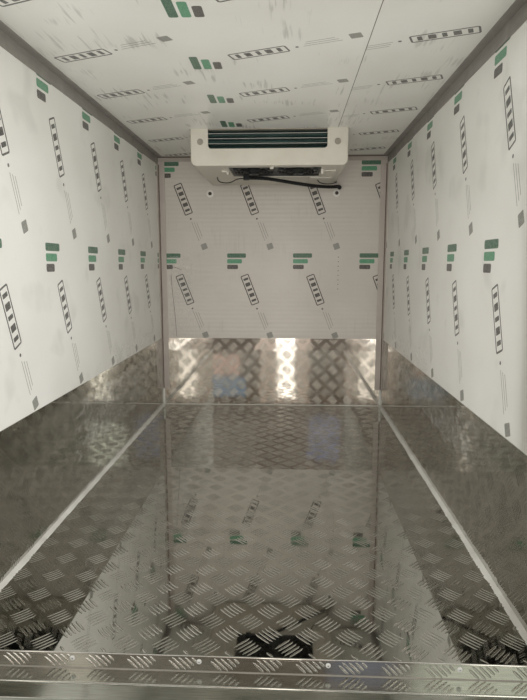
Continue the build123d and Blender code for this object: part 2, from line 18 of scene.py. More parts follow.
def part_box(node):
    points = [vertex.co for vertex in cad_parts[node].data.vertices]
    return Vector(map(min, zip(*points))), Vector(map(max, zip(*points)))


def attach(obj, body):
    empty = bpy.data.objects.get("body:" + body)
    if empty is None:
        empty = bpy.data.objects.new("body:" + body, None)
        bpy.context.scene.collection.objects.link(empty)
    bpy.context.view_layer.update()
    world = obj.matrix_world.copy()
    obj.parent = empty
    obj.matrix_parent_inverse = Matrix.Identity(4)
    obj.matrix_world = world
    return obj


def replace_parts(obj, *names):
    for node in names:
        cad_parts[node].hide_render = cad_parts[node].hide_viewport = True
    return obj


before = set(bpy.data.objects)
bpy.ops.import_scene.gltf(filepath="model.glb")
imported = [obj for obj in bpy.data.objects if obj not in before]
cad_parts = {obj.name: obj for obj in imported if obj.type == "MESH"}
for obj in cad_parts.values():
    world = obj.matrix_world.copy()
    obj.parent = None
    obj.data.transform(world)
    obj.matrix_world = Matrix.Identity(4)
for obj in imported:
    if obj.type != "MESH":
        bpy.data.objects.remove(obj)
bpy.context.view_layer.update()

# %% Measure the load space
MM = 0.001
wall_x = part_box("right_wall_panel")[0].x
fold_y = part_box("right_wall_panel")[0].y
bulkhead_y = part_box("front_panel")[0].y
floor_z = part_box("floor_tread_plate")[1].z
ceiling_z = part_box("roof_panel")[0].z
kick_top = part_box("side_kick_plates")[1].z
kick_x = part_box("front_kick_plate")[1].x
kick_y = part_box("front_kick_plate")[0].y
sill_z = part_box("floor_tread_plate")[0].z
plate_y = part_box("floor_tread_plate")[0].y
outer_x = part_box("right_wall_panel")[1].x
load_depth = bulkhead_y - fold_y
print("load space", round(2 * wall_x, 3), round(load_depth, 3), round(ceiling_z - floor_z, 3))

# %% [markdown]
# The camera is a hand-held phone in front of the doorway. Its height, its distance and its slight turn to
# the left were worked out from the straight edges of the box in the photograph. Its place is in metres
# and its angles are in radians. The photograph is taller than wide, so the sensor is fitted to its height.

# %% Set the camera
CAMERA_PLACE = (0.0798, fold_y - 0.8607, floor_z + 0.6401)
CAMERA_TURN = 0.0448
CAMERA_DIP = 0.148
FOCAL_PIXELS = 573.96
PHOTO_HEIGHT = 700
SENSOR = 36.0

camera_data = bpy.data.cameras.new("phone")
camera_data.sensor_fit = "VERTICAL"
camera_data.sensor_height = SENSOR
camera_data.sensor_width = SENSOR
camera_data.lens = SENSOR * FOCAL_PIXELS / PHOTO_HEIGHT
camera_data.clip_start = 0.05
camera = bpy.data.objects.new("phone", camera_data)
camera.location = CAMERA_PLACE
camera.rotation_euler = (math.pi / 2 - CAMERA_DIP, 0, CAMERA_TURN)
bpy.context.scene.collection.objects.link(camera)
bpy.context.scene.camera = camera
print("lens", round(camera_data.lens, 2), "mm")

# %% [markdown]
# Blender's shaders work in linear light, while a paint chart gives colours as sRGB hex values, so one
# function turns a hex value into linear red, green and blue.
#
# A second small function adds a node to a material. Its inputs are either plain values or other nodes'
# outputs, and an output is linked. All the finishes below are made with these two.

# %% Helpers for materials
def linear(hex_value):
    """An sRGB hex value as linear red, green, blue and alpha."""
    channels = [int(hex_value[i:i + 2], 16) / 255 for i in (1, 3, 5)]
    return [c / 12.92 if c <= 0.04045 else ((c + 0.055) / 1.055) ** 2.4 for c in channels] + [1.0]


def add_node(tree, kind, inputs=None, **settings):
    """Adds one node. An input that is another node's output is linked, and any other is set."""
    node = tree.nodes.new("ShaderNode" + kind)
    for name, value in settings.items():
        setattr(node, name, value)
    for key, value in (inputs or {}).items():
        if isinstance(value, bpy.types.NodeSocket):
            tree.links.new(value, node.inputs[key])
        else:
            node.inputs[key].default_value = value
    return node


def new_finish(name, metallic=0.0, roughness=0.5, **sockets):
    """A material with its shader, and the place in metres that its patterns are drawn in."""
    material = bpy.data.materials.new(name)
    material.use_nodes = True
    tree = material.node_tree
    shader = tree.nodes["Principled BSDF"]
    shader.inputs["Metallic"].default_value = metallic
    shader.inputs["Roughness"].default_value = roughness
    for key, value in sockets.items():
        shader.inputs[key.replace("_", " ")].default_value = value
    place = add_node(tree, "TexCoord").outputs["Object"]
    return material, tree, shader, place


def speckle(tree, place, size_mm, stretch=(1, 1, 1), detail=3.0, distortion=0.0):
    """Cloudy noise whose lumps are about size_mm across, drawn out along an axis by stretch."""
    scale = [1 / (size_mm * MM * s) for s in stretch]
    mapped = add_node(tree, "Mapping", {"Vector": place, "Scale": scale})
    settings = {"Vector": mapped.outputs[0], "Scale": 1.0, "Detail": detail, "Distortion": distortion}
    return add_node(tree, "TexNoise", settings).outputs["Fac"]


def ramp(tree, value, low, high, start=0.3, end=0.7):
    """Carries a value between start and end to a value between low and high."""
    inputs = {"Value": value, "From Min": start, "From Max": end, "To Min": low, "To Max": high}
    return add_node(tree, "MapRange", inputs).outputs[0]


def blend_colours(tree, factor, first, second):
    """Mixes two colours, each a hex value or another node's output."""
    node = add_node(tree, "Mix", {0: factor}, data_type="RGBA")
    for socket, colour in ((node.inputs[6], first), (node.inputs[7], second)):
        if isinstance(colour, str):
            socket.default_value = linear(colour)
        else:
            tree.links.new(colour, socket)
    return node.outputs[2]


def relief(tree, shader, height, depth_mm, under=None):
    """Turns a height pattern into bump, depth_mm deep."""
    inputs = {"Height": height, "Distance": depth_mm * MM, "Strength": 1.0}
    if under is not None:
        inputs["Normal"] = under
    normal = add_node(tree, "Bump", inputs).outputs[0]
    tree.links.new(normal, shader.inputs["Normal"])
    return normal


print("helpers for materials are ready")

# %% [markdown]
# The tread plate is an aluminium-magnesium alloy, rolled hot between a smooth roller and an engraved one.
# Here it is new and has just been unwrapped, so it mirrors the box sharply at half its brightness.
# Fingermarks and drag marks dull it in patches a hand wide, the rollers leave faint streaks along the
# sheet, and the sheet is never quite flat, which bends what it mirrors. The bars come off the engraved
# roller and are a little duller than the ground between them. The front kick plate is drawn hard to the
# wall and buckles in waves 38 mm across, and its bars are satin and painted paler than the floor's: a
# painted sheen for the light they catch. The side plates still wear their clear film, which blurs them
# and bridges the bars. It is a metal, so all of its colour is in the base colour, and its IOR stays at
# the default.

# %% Tread plate: rolled aluminium
def rolled_aluminium(name, dark, pale, smudge, sharp, dull, wave_mm=140, wave_depth_mm=0.12):
    """Rolled plate with streaks 1.2 mm wide, smudges 90 mm across and a slow wave.

    sharp and dull are the lowest and the highest roughness.
    """
    material, tree, shader, place = new_finish(name, metallic=1.0, roughness=sharp)
    streaks = speckle(tree, place, 1.2, stretch=(1, 40, 1), detail=2.0)
    smudges = speckle(tree, place, 90, detail=5.0, distortion=0.6)
    colour = blend_colours(tree, ramp(tree, streaks, 0, 1), dark, pale)
    colour = blend_colours(tree, ramp(tree, smudges, 0, 0.4), colour, smudge)
    tree.links.new(colour, shader.inputs["Base Color"])
    tree.links.new(ramp(tree, smudges, sharp, dull, 0.45, 0.75), shader.inputs["Roughness"])
    relief(tree, shader, speckle(tree, place, wave_mm, detail=1.0), wave_depth_mm)
    return material


tread_finish = rolled_aluminium("bright rolled plate", "#c1c0ba", "#cdccc6", "#b1b0a9", 0.03, 0.085)
kick_finish = rolled_aluminium(
    "bright plate drawn to the wall", "#c6c5bf", "#d2d1cb", "#bab9b3", 0.03, 0.06,
    wave_mm=38, wave_depth_mm=0.14,
)
bar_finish = rolled_aluminium("embossed bars", "#c2c1bb", "#cdccc6", "#b4b3ac", 0.085, 0.15)
filmed_finish = rolled_aluminium("rolled plate under clear film", "#c2c1bb", "#cecdc7", "#b4b3ac", 0.05, 0.13)
# Painted sheen: the front kick's bars are painted paler than the floor's bars, for the light that they catch.
kick_bar_finish_painted_paler = rolled_aluminium("embossed bars, satin, painted paler", "#d6d5cf", "#e0dfd9", "#cac9c3", 0.2, 0.28)
print("made five plate finishes")

# %% [markdown]
# The angles in the corners are extruded aluminium with a matt silver anodising, which scatters the light
# so much that they look almost like grey paint. That is why their metallic is only 0.3. Die lines are 0.8
# mm apart and run along each piece, so they take a stretched noise, and grime gathers where hands have
# pressed the angle home. The three copies of the angle's finish differ in colour only by painted light:
# the lengthways angles under the ceiling are painted darker, as painted shade, and the upright angles in
# the corners paler and pinker, as painted light. The rails outside and the louvres are the same metal
# with a satin finish.

# %% Angles and rails: anodised aluminium
def anodised(name, dark, pale, roughness, stretch, metallic=1.0):
    """Anodised aluminium with die lines 0.8 mm apart along the stretched axis."""
    material, tree, shader, place = new_finish(name, metallic=metallic, roughness=roughness)
    lines = speckle(tree, place, 0.8, stretch=stretch, detail=2.0)
    grime = speckle(tree, place, 60, detail=5.0, distortion=0.8)
    colour = blend_colours(tree, ramp(tree, lines, 0, 1), dark, pale)
    colour = blend_colours(tree, ramp(tree, grime, 0, 0.45), colour, dark)
    tree.links.new(colour, shader.inputs["Base Color"])
    tree.links.new(ramp(tree, grime, roughness - 0.08, roughness + 0.12), shader.inputs["Roughness"])
    relief(tree, shader, lines, 0.05)
    return material


along_y = (1, 60, 1)
along_x = (60, 1, 1)
along_z = (1, 1, 60)
# Painted light and shade: the same metal in three colours, the lengthways copy painted darker and the upright
# copy paler and pinker.
angle_y_finish_painted_darker = anodised("matt anodised angle, lengthways, painted darker", "#928e88", "#a19d96", 0.5, along_y, 0.3)
angle_x_finish = anodised("matt anodised angle, crossways", "#aea69d", "#bbb4ab", 0.5, along_x, 0.3)
angle_z_finish_painted_paler = anodised("matt anodised angle, upright, painted paler", "#b6ada4", "#c4bcb4", 0.45, along_z, 0.3)
rail_y_finish = anodised("satin anodised rail, lengthways", "#a6a6a4", "#bcbcba", 0.32, along_y)
louvre_finish = anodised("satin anodised louvre", "#c2c8c6", "#d2d6d4", 0.35, along_x)
print("made five aluminium finishes")

# %% [markdown]
# The rear frame is stainless steel, brushed with an abrasive belt. The scratches are about 0.1 mm wide on
# the real thing, far too fine for this picture, so they are drawn 0.7 mm wide. They run along each
# member, and they widen the reflections across themselves.

# %% Rear frame: brushed stainless steel
def brushed_steel(name, stretch, smooth=0.2, dull=0.42, depth_mm=0.04):
    """Belt-brushed stainless steel with scratches drawn 0.7 mm wide."""
    material, tree, shader, place = new_finish(name, metallic=1.0, roughness=smooth)
    scratches = speckle(tree, place, 0.7, stretch=stretch, detail=4.0)
    smears = speckle(tree, place, 120, detail=4.0, distortion=0.5)
    colour = blend_colours(tree, ramp(tree, scratches, 0, 1), "#a3a59d", "#c8c9c1")
    tree.links.new(colour, shader.inputs["Base Color"])
    tree.links.new(ramp(tree, smears, smooth, dull), shader.inputs["Roughness"])
    relief(tree, shader, scratches, depth_mm)
    return material


steel_x_finish = brushed_steel("brushed stainless, crossways", along_x)
steel_z_finish = brushed_steel("brushed stainless, upright", along_z)
steel_y_finish = brushed_steel("brushed stainless, lengthways", along_y)
sill_finish = brushed_steel("rolled stainless of the sill", along_x, 0.08, 0.2, 0.008)
print("made four stainless finishes")

# %% [markdown]
# Bolts, keepers, lock rods and catches are mild steel with a zinc plating. Freshly plated zinc is bright
# with a faint blue and yellow bloom in patches, and it dulls unevenly.

# %% Hardware: zinc-plated steel
def zinc_plate():
    """Zinc plating with a bloom in patches 12 mm across."""
    material, tree, shader, place = new_finish("zinc-plated steel", metallic=1.0, roughness=0.35)
    bloom = speckle(tree, place, 12, detail=4.0, distortion=1.0)
    colour = blend_colours(tree, ramp(tree, bloom, 0, 1), "#8f959b", "#b3afa2")
    tree.links.new(colour, shader.inputs["Base Color"])
    tree.links.new(ramp(tree, bloom, 0.26, 0.46), shader.inputs["Roughness"])
    relief(tree, shader, speckle(tree, place, 1.5, detail=2.0), 0.04)
    return material


zinc_finish = zinc_plate()
print("made", zinc_finish.name)

# %% [markdown]
# Outside, the panels have skins of glass-reinforced polyester with a white gelcoat. It is a glossy
# plastic, IOR about 1.5, and it is never quite flat: the resin shrinks over the foam, which leaves a soft
# waviness a few centimetres long and a finer orange peel. It is darker and rougher towards the bottom,
# in cloudy patches.

# %% Outer skins: white gelcoat
def white_gelcoat():
    """Glossy polyester with orange peel 5 mm across and a waviness 70 mm across."""
    material, tree, shader, place = new_finish("white gelcoat", roughness=0.22, Coat_Weight=0.4)
    height = add_node(tree, "SeparateXYZ", {"Vector": place}).outputs["Z"]
    # Darker and rougher towards the bottom, in cloudy patches 220 mm across.
    low_down = ramp(tree, height, 0.55, 0.0, 0.06, 0.75)
    cloudy_patches = speckle(tree, place, 220, detail=2.0)
    patch_share = ramp(tree, cloudy_patches, 0.2, 1.0)
    film = add_node(tree, "Math", {0: patch_share, 1: low_down}, operation="MULTIPLY").outputs[0]
    tree.links.new(blend_colours(tree, film, "#e6e6e1", "#bdb8ac"), shader.inputs["Base Color"])
    tree.links.new(ramp(tree, film, 0.2, 0.38, 0.0, 1.0), shader.inputs["Roughness"])
    wave = relief(tree, shader, speckle(tree, place, 70, detail=1.0), 0.35)
    relief(tree, shader, speckle(tree, place, 5, detail=1.0), 0.03, under=wave)
    return material


gelcoat_finish = white_gelcoat()
print("made", gelcoat_finish.name)

# %% [markdown]
# Inside, the skins still wear their protective film: a thin milky polyethylene, stuck to the sheet and
# printed every 293 mm across and 396 mm up. The print here is a plain pattern of this lesson's own: three
# bars of falling length, a leaning ladder in a frame, thin leaning rules and a small square, in two
# greens, black and grey.
#
# Each shape is a signed distance: the distance from a point to the shape's edge, negative inside. A disc,
# a frame and a rule are all rounded rectangles, so one table describes them all, with a line width where
# only the outline is printed, and a lean for those that tilt. The pattern repeats by taking the place
# modulo the tile.

# %% The print on the protective film
TILE_WIDTH = 293.0
TILE_HEIGHT = 396.0
LEAN = math.radians(21)
LEAN_UP = Vector((-math.sin(LEAN), math.cos(LEAN)))
LEAN_OUT = Vector((math.cos(LEAN), math.sin(LEAN)))
FRAME_CENTRE = (130, 231)
RULES_CENTRE = (191, 95)
RUNG_PITCH = 25
RULE_PITCH = 10
PRINT_SHAPES = [
    # ink, then in mm: centre across and up, half width, half height, corner radius, line width (0 is
    # filled), and last the lean
    ("dark", (71, 382), 42, 9.5, 5, 0, 0.0),
    ("bright", (62, 357), 33, 9.5, 5, 0, 0.0),
    ("black", (53, 332), 24, 9.5, 5, 0, 0.0),
    ("black", FRAME_CENTRE, 19, 70, 6, 4.4, LEAN),
    ("black", (162, 146), 4, 4, 4, 0, 0.0),
    ("grey", (220, 26), 13, 13, 3, 0, LEAN),
]
for step in (-2, -1, 0, 1, 2):
    rung = Vector(FRAME_CENTRE) + LEAN_UP * RUNG_PITCH * step
    PRINT_SHAPES.append(("black", tuple(rung), 11, 5 + step % 2 * 3, 2, 0, LEAN))
for step in (-1, 0, 1):
    rule = Vector(RULES_CENTRE) + LEAN_OUT * RULE_PITCH * step
    PRINT_SHAPES.append(("grey", tuple(rule), 1.0, 38 - 6 * step, 1.0, 0, LEAN))
INKS = {"bright": "#3d8c64", "dark": "#1f5b40", "black": "#35332f", "grey": "#84847c"}


def print_group():
    """A node group: a place on the sheet in millimetres goes in, and the four inks' coverage comes out."""
    tree = bpy.data.node_groups.new("film print", "ShaderNodeTree")
    tree.interface.new_socket("Place", in_out="INPUT", socket_type="NodeSocketVector")
    for ink in INKS:
        tree.interface.new_socket(ink, in_out="OUTPUT", socket_type="NodeSocketFloat")
    start = tree.nodes.new("NodeGroupInput").outputs["Place"]
    tile = (TILE_WIDTH, TILE_HEIGHT, 1.0)
    within = add_node(tree, "VectorMath", {0: start, 1: tile}, operation="DIVIDE").outputs[0]
    within = add_node(tree, "VectorMath", {0: within}, operation="FRACTION").outputs[0]
    here = add_node(tree, "VectorMath", {0: within, 1: tile}, operation="MULTIPLY").outputs[0]
    end = tree.nodes.new("NodeGroupOutput")
    covered = {}
    for ink, centre, half_x, half_y, corner, line, lean in PRINT_SHAPES:
        offset = add_node(tree, "VectorMath", {0: here, 1: (*centre, 0)}, operation="SUBTRACT").outputs[0]
        if lean:
            offset = add_node(tree, "VectorRotate", {"Vector": offset, "Angle": -lean}).outputs[0]
        offset = add_node(tree, "VectorMath", {0: offset}, operation="ABSOLUTE").outputs[0]
        core = (half_x - corner, half_y - corner, 0)
        outside = add_node(tree, "VectorMath", {0: offset, 1: core}, operation="SUBTRACT").outputs[0]
        outside = add_node(tree, "VectorMath", {0: outside, 1: (0, 0, 0)}, operation="MAXIMUM").outputs[0]
        distance = add_node(tree, "VectorMath", {0: outside}, operation="LENGTH").outputs["Value"]
        distance = add_node(tree, "Math", {0: distance, 1: corner}, operation="SUBTRACT").outputs[0]
        if line:
            distance = add_node(tree, "Math", {0: distance, 1: line / 2}, operation="ADD").outputs[0]
            distance = add_node(tree, "Math", {0: distance}, operation="ABSOLUTE").outputs[0]
        reach = max(line / 2, 0.01)
        inside = add_node(tree, "Math", {0: distance, 1: reach}, operation="LESS_THAN").outputs[0]
        if ink in covered:
            inside = add_node(tree, "Math", {0: covered[ink], 1: inside}, operation="MAXIMUM").outputs[0]
        covered[ink] = inside
    for ink, value in covered.items():
        tree.links.new(value, end.inputs[ink])
    return tree


film_print = print_group()
print("film print:", len(PRINT_SHAPES), "shapes,", len(film_print.nodes), "nodes")

# %% [markdown]
# The film itself is off-white and a little glossy. It clings unevenly, which leaves soft wrinkles, and
# its fine creases are only painted: painted shade, darker streaks with no relief of their own. Under it
# the bulkhead's sheet has ribs 19 mm apart, and the walls and the ceiling are nearly smooth. Each face
# takes its own copy of the finish, with the two directions that the print runs in: across and up, in
# millimetres a metre.

# %% Linings: protective film over a ribbed sheet
RIB_PITCH = 19.0


def protective_film(name, dark, pale, across, up, shift, rib_mm, crease_shade):
    """Printed film. across and up turn a place into millimetres on the sheet, and shift moves the print.

    rib_mm is the height of the ribs under it, and the last argument is how dark the painted shade in its
    creases is.
    """
    material, tree, shader, place = new_finish(name, roughness=0.4, IOR=1.5, Coat_Weight=0.35)
    shader.inputs["Coat Roughness"].default_value = 0.16
    run = add_node(tree, "VectorMath", {0: place, 1: across}, operation="DOT_PRODUCT").outputs["Value"]
    rise = add_node(tree, "VectorMath", {0: place, 1: up}, operation="DOT_PRODUCT").outputs["Value"]
    sheet = add_node(tree, "CombineXYZ", {"X": run, "Y": rise}).outputs[0]
    sheet = add_node(tree, "VectorMath", {0: sheet, 1: shift}, operation="ADD").outputs[0]
    inks = tree.nodes.new("ShaderNodeGroup")
    inks.node_tree = film_print
    tree.links.new(sheet, inks.inputs["Place"])
    cloud = speckle(tree, place, 260, detail=4.0)
    colour = blend_colours(tree, ramp(tree, cloud, 0, 1), dark, pale)
    # Painted shade: thin stretched streaks, in patches, are darkened towards grey where the film's creases
    # would hold shade.
    creases = speckle(tree, place, 9, stretch=(1, 14, 14), detail=2.0, distortion=0.3)
    areas = speckle(tree, place, 120, detail=1.0)
    creases = add_node(tree, "Math", {0: creases, 1: areas}, operation="MULTIPLY").outputs[0]
    colour = blend_colours(tree, ramp(tree, creases, 0, crease_shade, 0.33, 0.42), colour, "#8f8d84")
    worn = ramp(tree, speckle(tree, place, 3, detail=3.0), 0.8, 1.0)
    for ink, value in INKS.items():
        cover = add_node(tree, "Math", {0: inks.outputs[ink], 1: worn}, operation="MULTIPLY").outputs[0]
        colour = blend_colours(tree, cover, colour, value)
    tree.links.new(colour, shader.inputs["Base Color"])
    under = None
    if rib_mm:
        wave = add_node(tree, "Math", {0: rise, 1: 2 * math.pi / RIB_PITCH}, operation="MULTIPLY").outputs[0]
        wave = add_node(tree, "Math", {0: wave}, operation="SINE").outputs[0]
        under = relief(tree, shader, wave, rib_mm)
    folds = speckle(tree, place, 70, detail=3.0, distortion=1.2)
    relief(tree, shader, folds, 0.4, under=under)
    return material


FORWARD = (0, 1000, 0)
BACKWARD = (0, -1000, 0)
RIGHTWARD = (1000, 0, 0)
LEFTWARD = (-1000, 0, 0)
UPWARD = (0, 0, 1000)
FILMS = [
    # name, darker and paler colour, across, up, shift, height of the ribs in mm, and darkness of the
    # painted shade in the creases
    ("film on the left wall", "#e6e4dd", "#efeee8", FORWARD, UPWARD, (97, 319, 0), 0, 0.15),
    ("film on the right wall", "#e6e4dd", "#efeee8", BACKWARD, UPWARD, (172, 319, 0), 0, 0.15),
    # The bulkhead's film is the same printed film, painted darker than on the walls and the ceiling: painted
    # shade for the far wall.
    ("film on the bulkhead, painted darker", "#c0b9af", "#cac3b9", RIGHTWARD, UPWARD, (227, 322, 0), 0.22, 0.1),
    ("film on the ceiling", "#e2e0d8", "#eae9e2", BACKWARD, LEFTWARD, (59, 239, 0), 0, 0.4),
    ("film on the ceiling's strip", "#e0ded6", "#e8e7e0", FORWARD, RIGHTWARD, (287, 233, 0), 0, 0.3),
]
left_film, right_film, front_film_painted_darker, ceiling_film, strip_film = [protective_film(*row) for row in FILMS]
print("made", len(FILMS), "films")

# %% [markdown]
# The plastics and the rubber. The cooling unit's shell is cream ABS from a mould, with a fine
# spark-eroded grain. Fan plates and blades are black polyamide filled with glass, which is duller. The
# gaskets and buffers are EPDM rubber, almost matt. The loom runs in a foam sleeve wound with cloth tape.
# The coils' fins are dipped in a blue-green epoxy against salt.

# %% Plastics and rubber
def moulded(name, dark, pale, roughness, grain_mm, depth_mm):
    """A moulded plastic or rubber with a grain of the given size."""
    material, tree, shader, place = new_finish(name, roughness=roughness)
    patches = speckle(tree, place, 70, detail=4.0, distortion=0.5)
    tree.links.new(blend_colours(tree, ramp(tree, patches, 0, 1), dark, pale), shader.inputs["Base Color"])
    tree.links.new(ramp(tree, patches, roughness - 0.05, roughness + 0.08), shader.inputs["Roughness"])
    relief(tree, shader, speckle(tree, place, grain_mm, detail=2.0), depth_mm)
    return material


abs_finish = moulded("cream moulded ABS", "#c2bcae", "#cac5b8", 0.36, 1.2, 0.03)
cover_finish = moulded("grey ABS screw cover", "#8b8579", "#969084", 0.4, 1.2, 0.03)
nylon_finish = moulded("white nylon washer", "#d6d2c9", "#dedad2", 0.45, 1.5, 0.03)
polyamide_finish = moulded("black glass-filled polyamide", "#161a1a", "#232828", 0.45, 0.9, 0.04)
rubber_finish = moulded("black EPDM rubber", "#17181a", "#222326", 0.7, 0.8, 0.05)
sealant_finish = moulded("white polyurethane sealant", "#cbc8c0", "#e2e0d9", 0.45, 4.0, 0.25)
lacquer_finish = moulded("white lacquered rivet", "#e6e6e2", "#ecece8", 0.35, 1.0, 0.01)
cap_finish = moulded("dark bolt cap", "#3f362f", "#4e443c", 0.5, 1.0, 0.03)
joint_finish = moulded("brown joint sealant", "#584d45", "#675c53", 0.6, 2.0, 0.1)
chassis_finish = moulded("black chassis paint", "#111315", "#1d1f21", 0.3, 3.0, 0.05)
coated_wire_finish = moulded("black coated wire", "#101112", "#1a1c1d", 0.35, 1.0, 0.03)
loom_finish = moulded("black cloth tape on foam", "#141516", "#1f2021", 0.8, 1.0, 0.1)
fin_finish = moulded("blue-green coated fins", "#45635d", "#5b7c75", 0.45, 2.0, 0.05)
print("made thirteen plastics, rubbers and paints")

# %% [markdown]
# Now the geometry. A piece is a mesh drawn in metres in the shared frame. This helper puts a list of
# corners and faces into an object, gives it its finish and says which body it moves with. Faces that meet
# at less than 35 degrees shade smoothly into each other, and the rest keep a crisp edge. The normals are
# weighted by area: without that, the shading of a thin rounded edge would creep across the flat face
# beside it, and a flat mirror such as the floor would seem bent.

# %% A helper that makes a piece
SMOOTH_BELOW = math.radians(35)


def piece(name, mesh_or_lists, finish, body):
    """Adds a mesh as a piece that rides on a body."""
    if isinstance(mesh_or_lists, bpy.types.Mesh):
        mesh = mesh_or_lists
        mesh.name = name
    else:
        mesh = bpy.data.meshes.new(name)
        mesh.from_pydata(mesh_or_lists[0], [], mesh_or_lists[1])
    mesh.validate()
    mesh.shade_smooth()
    mesh.set_sharp_from_angle(angle=SMOOTH_BELOW)
    mesh.materials.clear()
    mesh.materials.append(finish)
    thing = bpy.data.objects.new(name, mesh)
    bpy.context.scene.collection.objects.link(thing)
    thing.modifiers.new("weighted normals", "WEIGHTED_NORMAL").keep_sharp = True
    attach(thing, body)
    return thing


def gather(parts):
    """Joins lists of corners and faces into one pair of lists."""
    corners, faces = [], []
    for part_corners, part_faces in parts:
        base = len(corners)
        corners.extend(part_corners)
        faces.extend([tuple(base + i for i in face) for face in part_faces])
    return corners, faces


def moved(part, matrix):
    """A copy of the corners and faces, moved by a matrix."""
    return [matrix @ Vector(c) for c in part[0]], part[1]


def from_bmesh(bm):
    """Corners and faces of a bmesh, which is then freed."""
    bm.verts.index_update()
    lists = [v.co.copy() for v in bm.verts], [tuple(v.index for v in f.verts) for f in bm.faces]
    bm.free()
    return lists


def rounded_block(low, high, edge_mm, segments=2):
    """A block between two corners, with every edge rounded."""
    bm = bmesh.new()
    bmesh.ops.create_cube(bm, size=1.0)
    low, high = Vector(low), Vector(high)
    for v in bm.verts:
        v.co = Vector([low[i] + (v.co[i] + 0.5) * (high[i] - low[i]) for i in range(3)])
    bmesh.ops.bevel(bm, geom=bm.edges[:], offset=edge_mm * MM, segments=segments, profile=0.5, affect="EDGES")
    return from_bmesh(bm)


def turned(profile, steps=24):
    """A turned shape about Z. profile is a list of (radius, height) in millimetres, from bottom to top."""
    corners = []
    for radius, height in profile:
        for i in range(steps):
            angle = 2 * math.pi * i / steps
            corners.append(Vector((radius * math.cos(angle), radius * math.sin(angle), height)) * MM)
    faces = []
    for ring in range(len(profile) - 1):
        for i in range(steps):
            a = ring * steps + i
            b = ring * steps + (i + 1) % steps
            faces.append((a, b, b + steps, a + steps))
    faces.append(tuple(reversed(range(steps))))
    faces.append(tuple(range((len(profile) - 1) * steps, len(profile) * steps)))
    return corners, faces


def facing(direction, place):
    """A matrix that carries Z to a direction and the origin to a place."""
    turn = Vector(direction).to_track_quat("Z", "Y").to_matrix().to_4x4()
    return Matrix.Translation(Vector(place)) @ turn


def straight_wire(start, end, wire_mm, sides=8):
    """A straight round wire between two places, in metres."""
    start, end = Vector(start), Vector(end)
    rod = turned([(wire_mm / 2, 0), (wire_mm / 2, (end - start).length / MM)], sides)
    return moved(rod, facing(end - start, start))


print("helpers for pieces are ready")

# %% [markdown]
# Real edges are never razor sharp, and the thin highlight along a rounded edge is much of what makes
# metal and plastic look real. This helper copies a solid, joins the triangles that lie in one plane, and
# bevels the edges that remain. The copy stands for the solid, which stays for weight and contact. One
# table then lists the solids that are fixed to the box, each with its finish and the radius of its edges.

# %% Round the edges of a solid
SHARP_ABOVE = math.radians(30)


def softened(node, finish, body, edge_mm=1.0, segments=2):
    """A copy of a CAD solid with its sharp edges rounded, which stands for it."""
    bm = bmesh.new()
    bm.from_mesh(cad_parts[node].data)
    bmesh.ops.remove_doubles(bm, verts=bm.verts[:], dist=0.00001)
    bmesh.ops.dissolve_limit(bm, angle_limit=math.radians(0.5), verts=bm.verts[:], edges=bm.edges[:])
    sharp = [e for e in bm.edges if len(e.link_faces) == 2 and e.calc_face_angle() > SHARP_ABOVE]
    bmesh.ops.bevel(
        bm, geom=sharp, offset=edge_mm * MM, segments=segments, profile=0.5, affect="EDGES",
        clamp_overlap=True,
    )
    mesh = bpy.data.meshes.new(node)
    bm.to_mesh(mesh)
    bm.free()
    thing = piece(node + "_finished", mesh, finish, body)
    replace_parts(thing, node)


print("a helper that rounds edges is ready")

# %% Panels, rails and frame
PLAIN_SOLIDS = [
    # node, finish, slot, edge radius in millimetres
    ("left_wall_panel", gelcoat_finish, "white_skin", 0.8),
    ("right_wall_panel", gelcoat_finish, "white_skin", 0.8),
    ("front_panel", gelcoat_finish, "white_skin", 0.8),
    ("roof_panel", gelcoat_finish, "white_skin", 0.8),
    ("floor_panel", gelcoat_finish, "white_skin", 0.8),
    ("roof_rail", rail_y_finish, "rail_aluminium", 1.2),
    ("front_corner_rails", rail_y_finish, "rail_aluminium", 1.2),
    ("base_rail", rail_y_finish, "rail_aluminium", 1.2),
    ("ceiling_side_angles", angle_y_finish_painted_darker, "angle_aluminium", 0.6),
    ("ceiling_front_angle", angle_x_finish, "angle_aluminium", 0.6),
    ("corner_angles", angle_z_finish_painted_paler, "angle_aluminium", 0.8),
    ("rear_sill", sill_finish, "frame_steel", 1.2),
    ("rear_header", steel_x_finish, "frame_steel", 1.2),
    ("left_rear_post", steel_z_finish, "frame_steel", 1.2),
    ("right_rear_post", steel_z_finish, "frame_steel", 1.2),
    ("left_runner", chassis_finish, "subframe_paint", 3.0),
    ("right_runner", chassis_finish, "subframe_paint", 3.0),
    ("cross_bearers", chassis_finish, "subframe_paint", 3.0),
    ("evaporator_louvres", louvre_finish, "rail_aluminium", 0.6),
    ("evaporator_shell", abs_finish, "unit_shell", 1.0),
    ("evaporator_fan_plate", polyamide_finish, "black_plastic", 0.8),
    ("loom_fittings", polyamide_finish, "black_plastic", 1.0),
    ("condenser_rails", zinc_finish, "zinc_steel", 1.0),
    ("condenser_back", zinc_finish, "zinc_steel", 0.8),
    ("condenser_case", abs_finish, "unit_shell", 1.0),
    ("condenser_motors", polyamide_finish, "black_plastic", 1.0),
    ("hinge_brackets", steel_z_finish, "frame_steel", 1.0),
    ("lock_keepers", zinc_finish, "zinc_steel", 0.8),
    ("door_buffers", rubber_finish, "black_rubber", 2.0),
    ("door_catches", zinc_finish, "zinc_steel", 1.5),
]
for node, finish, slot, edge_mm in PLAIN_SOLIDS:
    softened(node, finish, "box", edge_mm)
print("finished", len(PLAIN_SOLIDS), "fixed solids")

# %% [markdown]
# The doors are insulated like the walls, with an extruded rubber gasket round the inner face. They ride
# on their own bodies, so that the same script looks right with the doors shut.

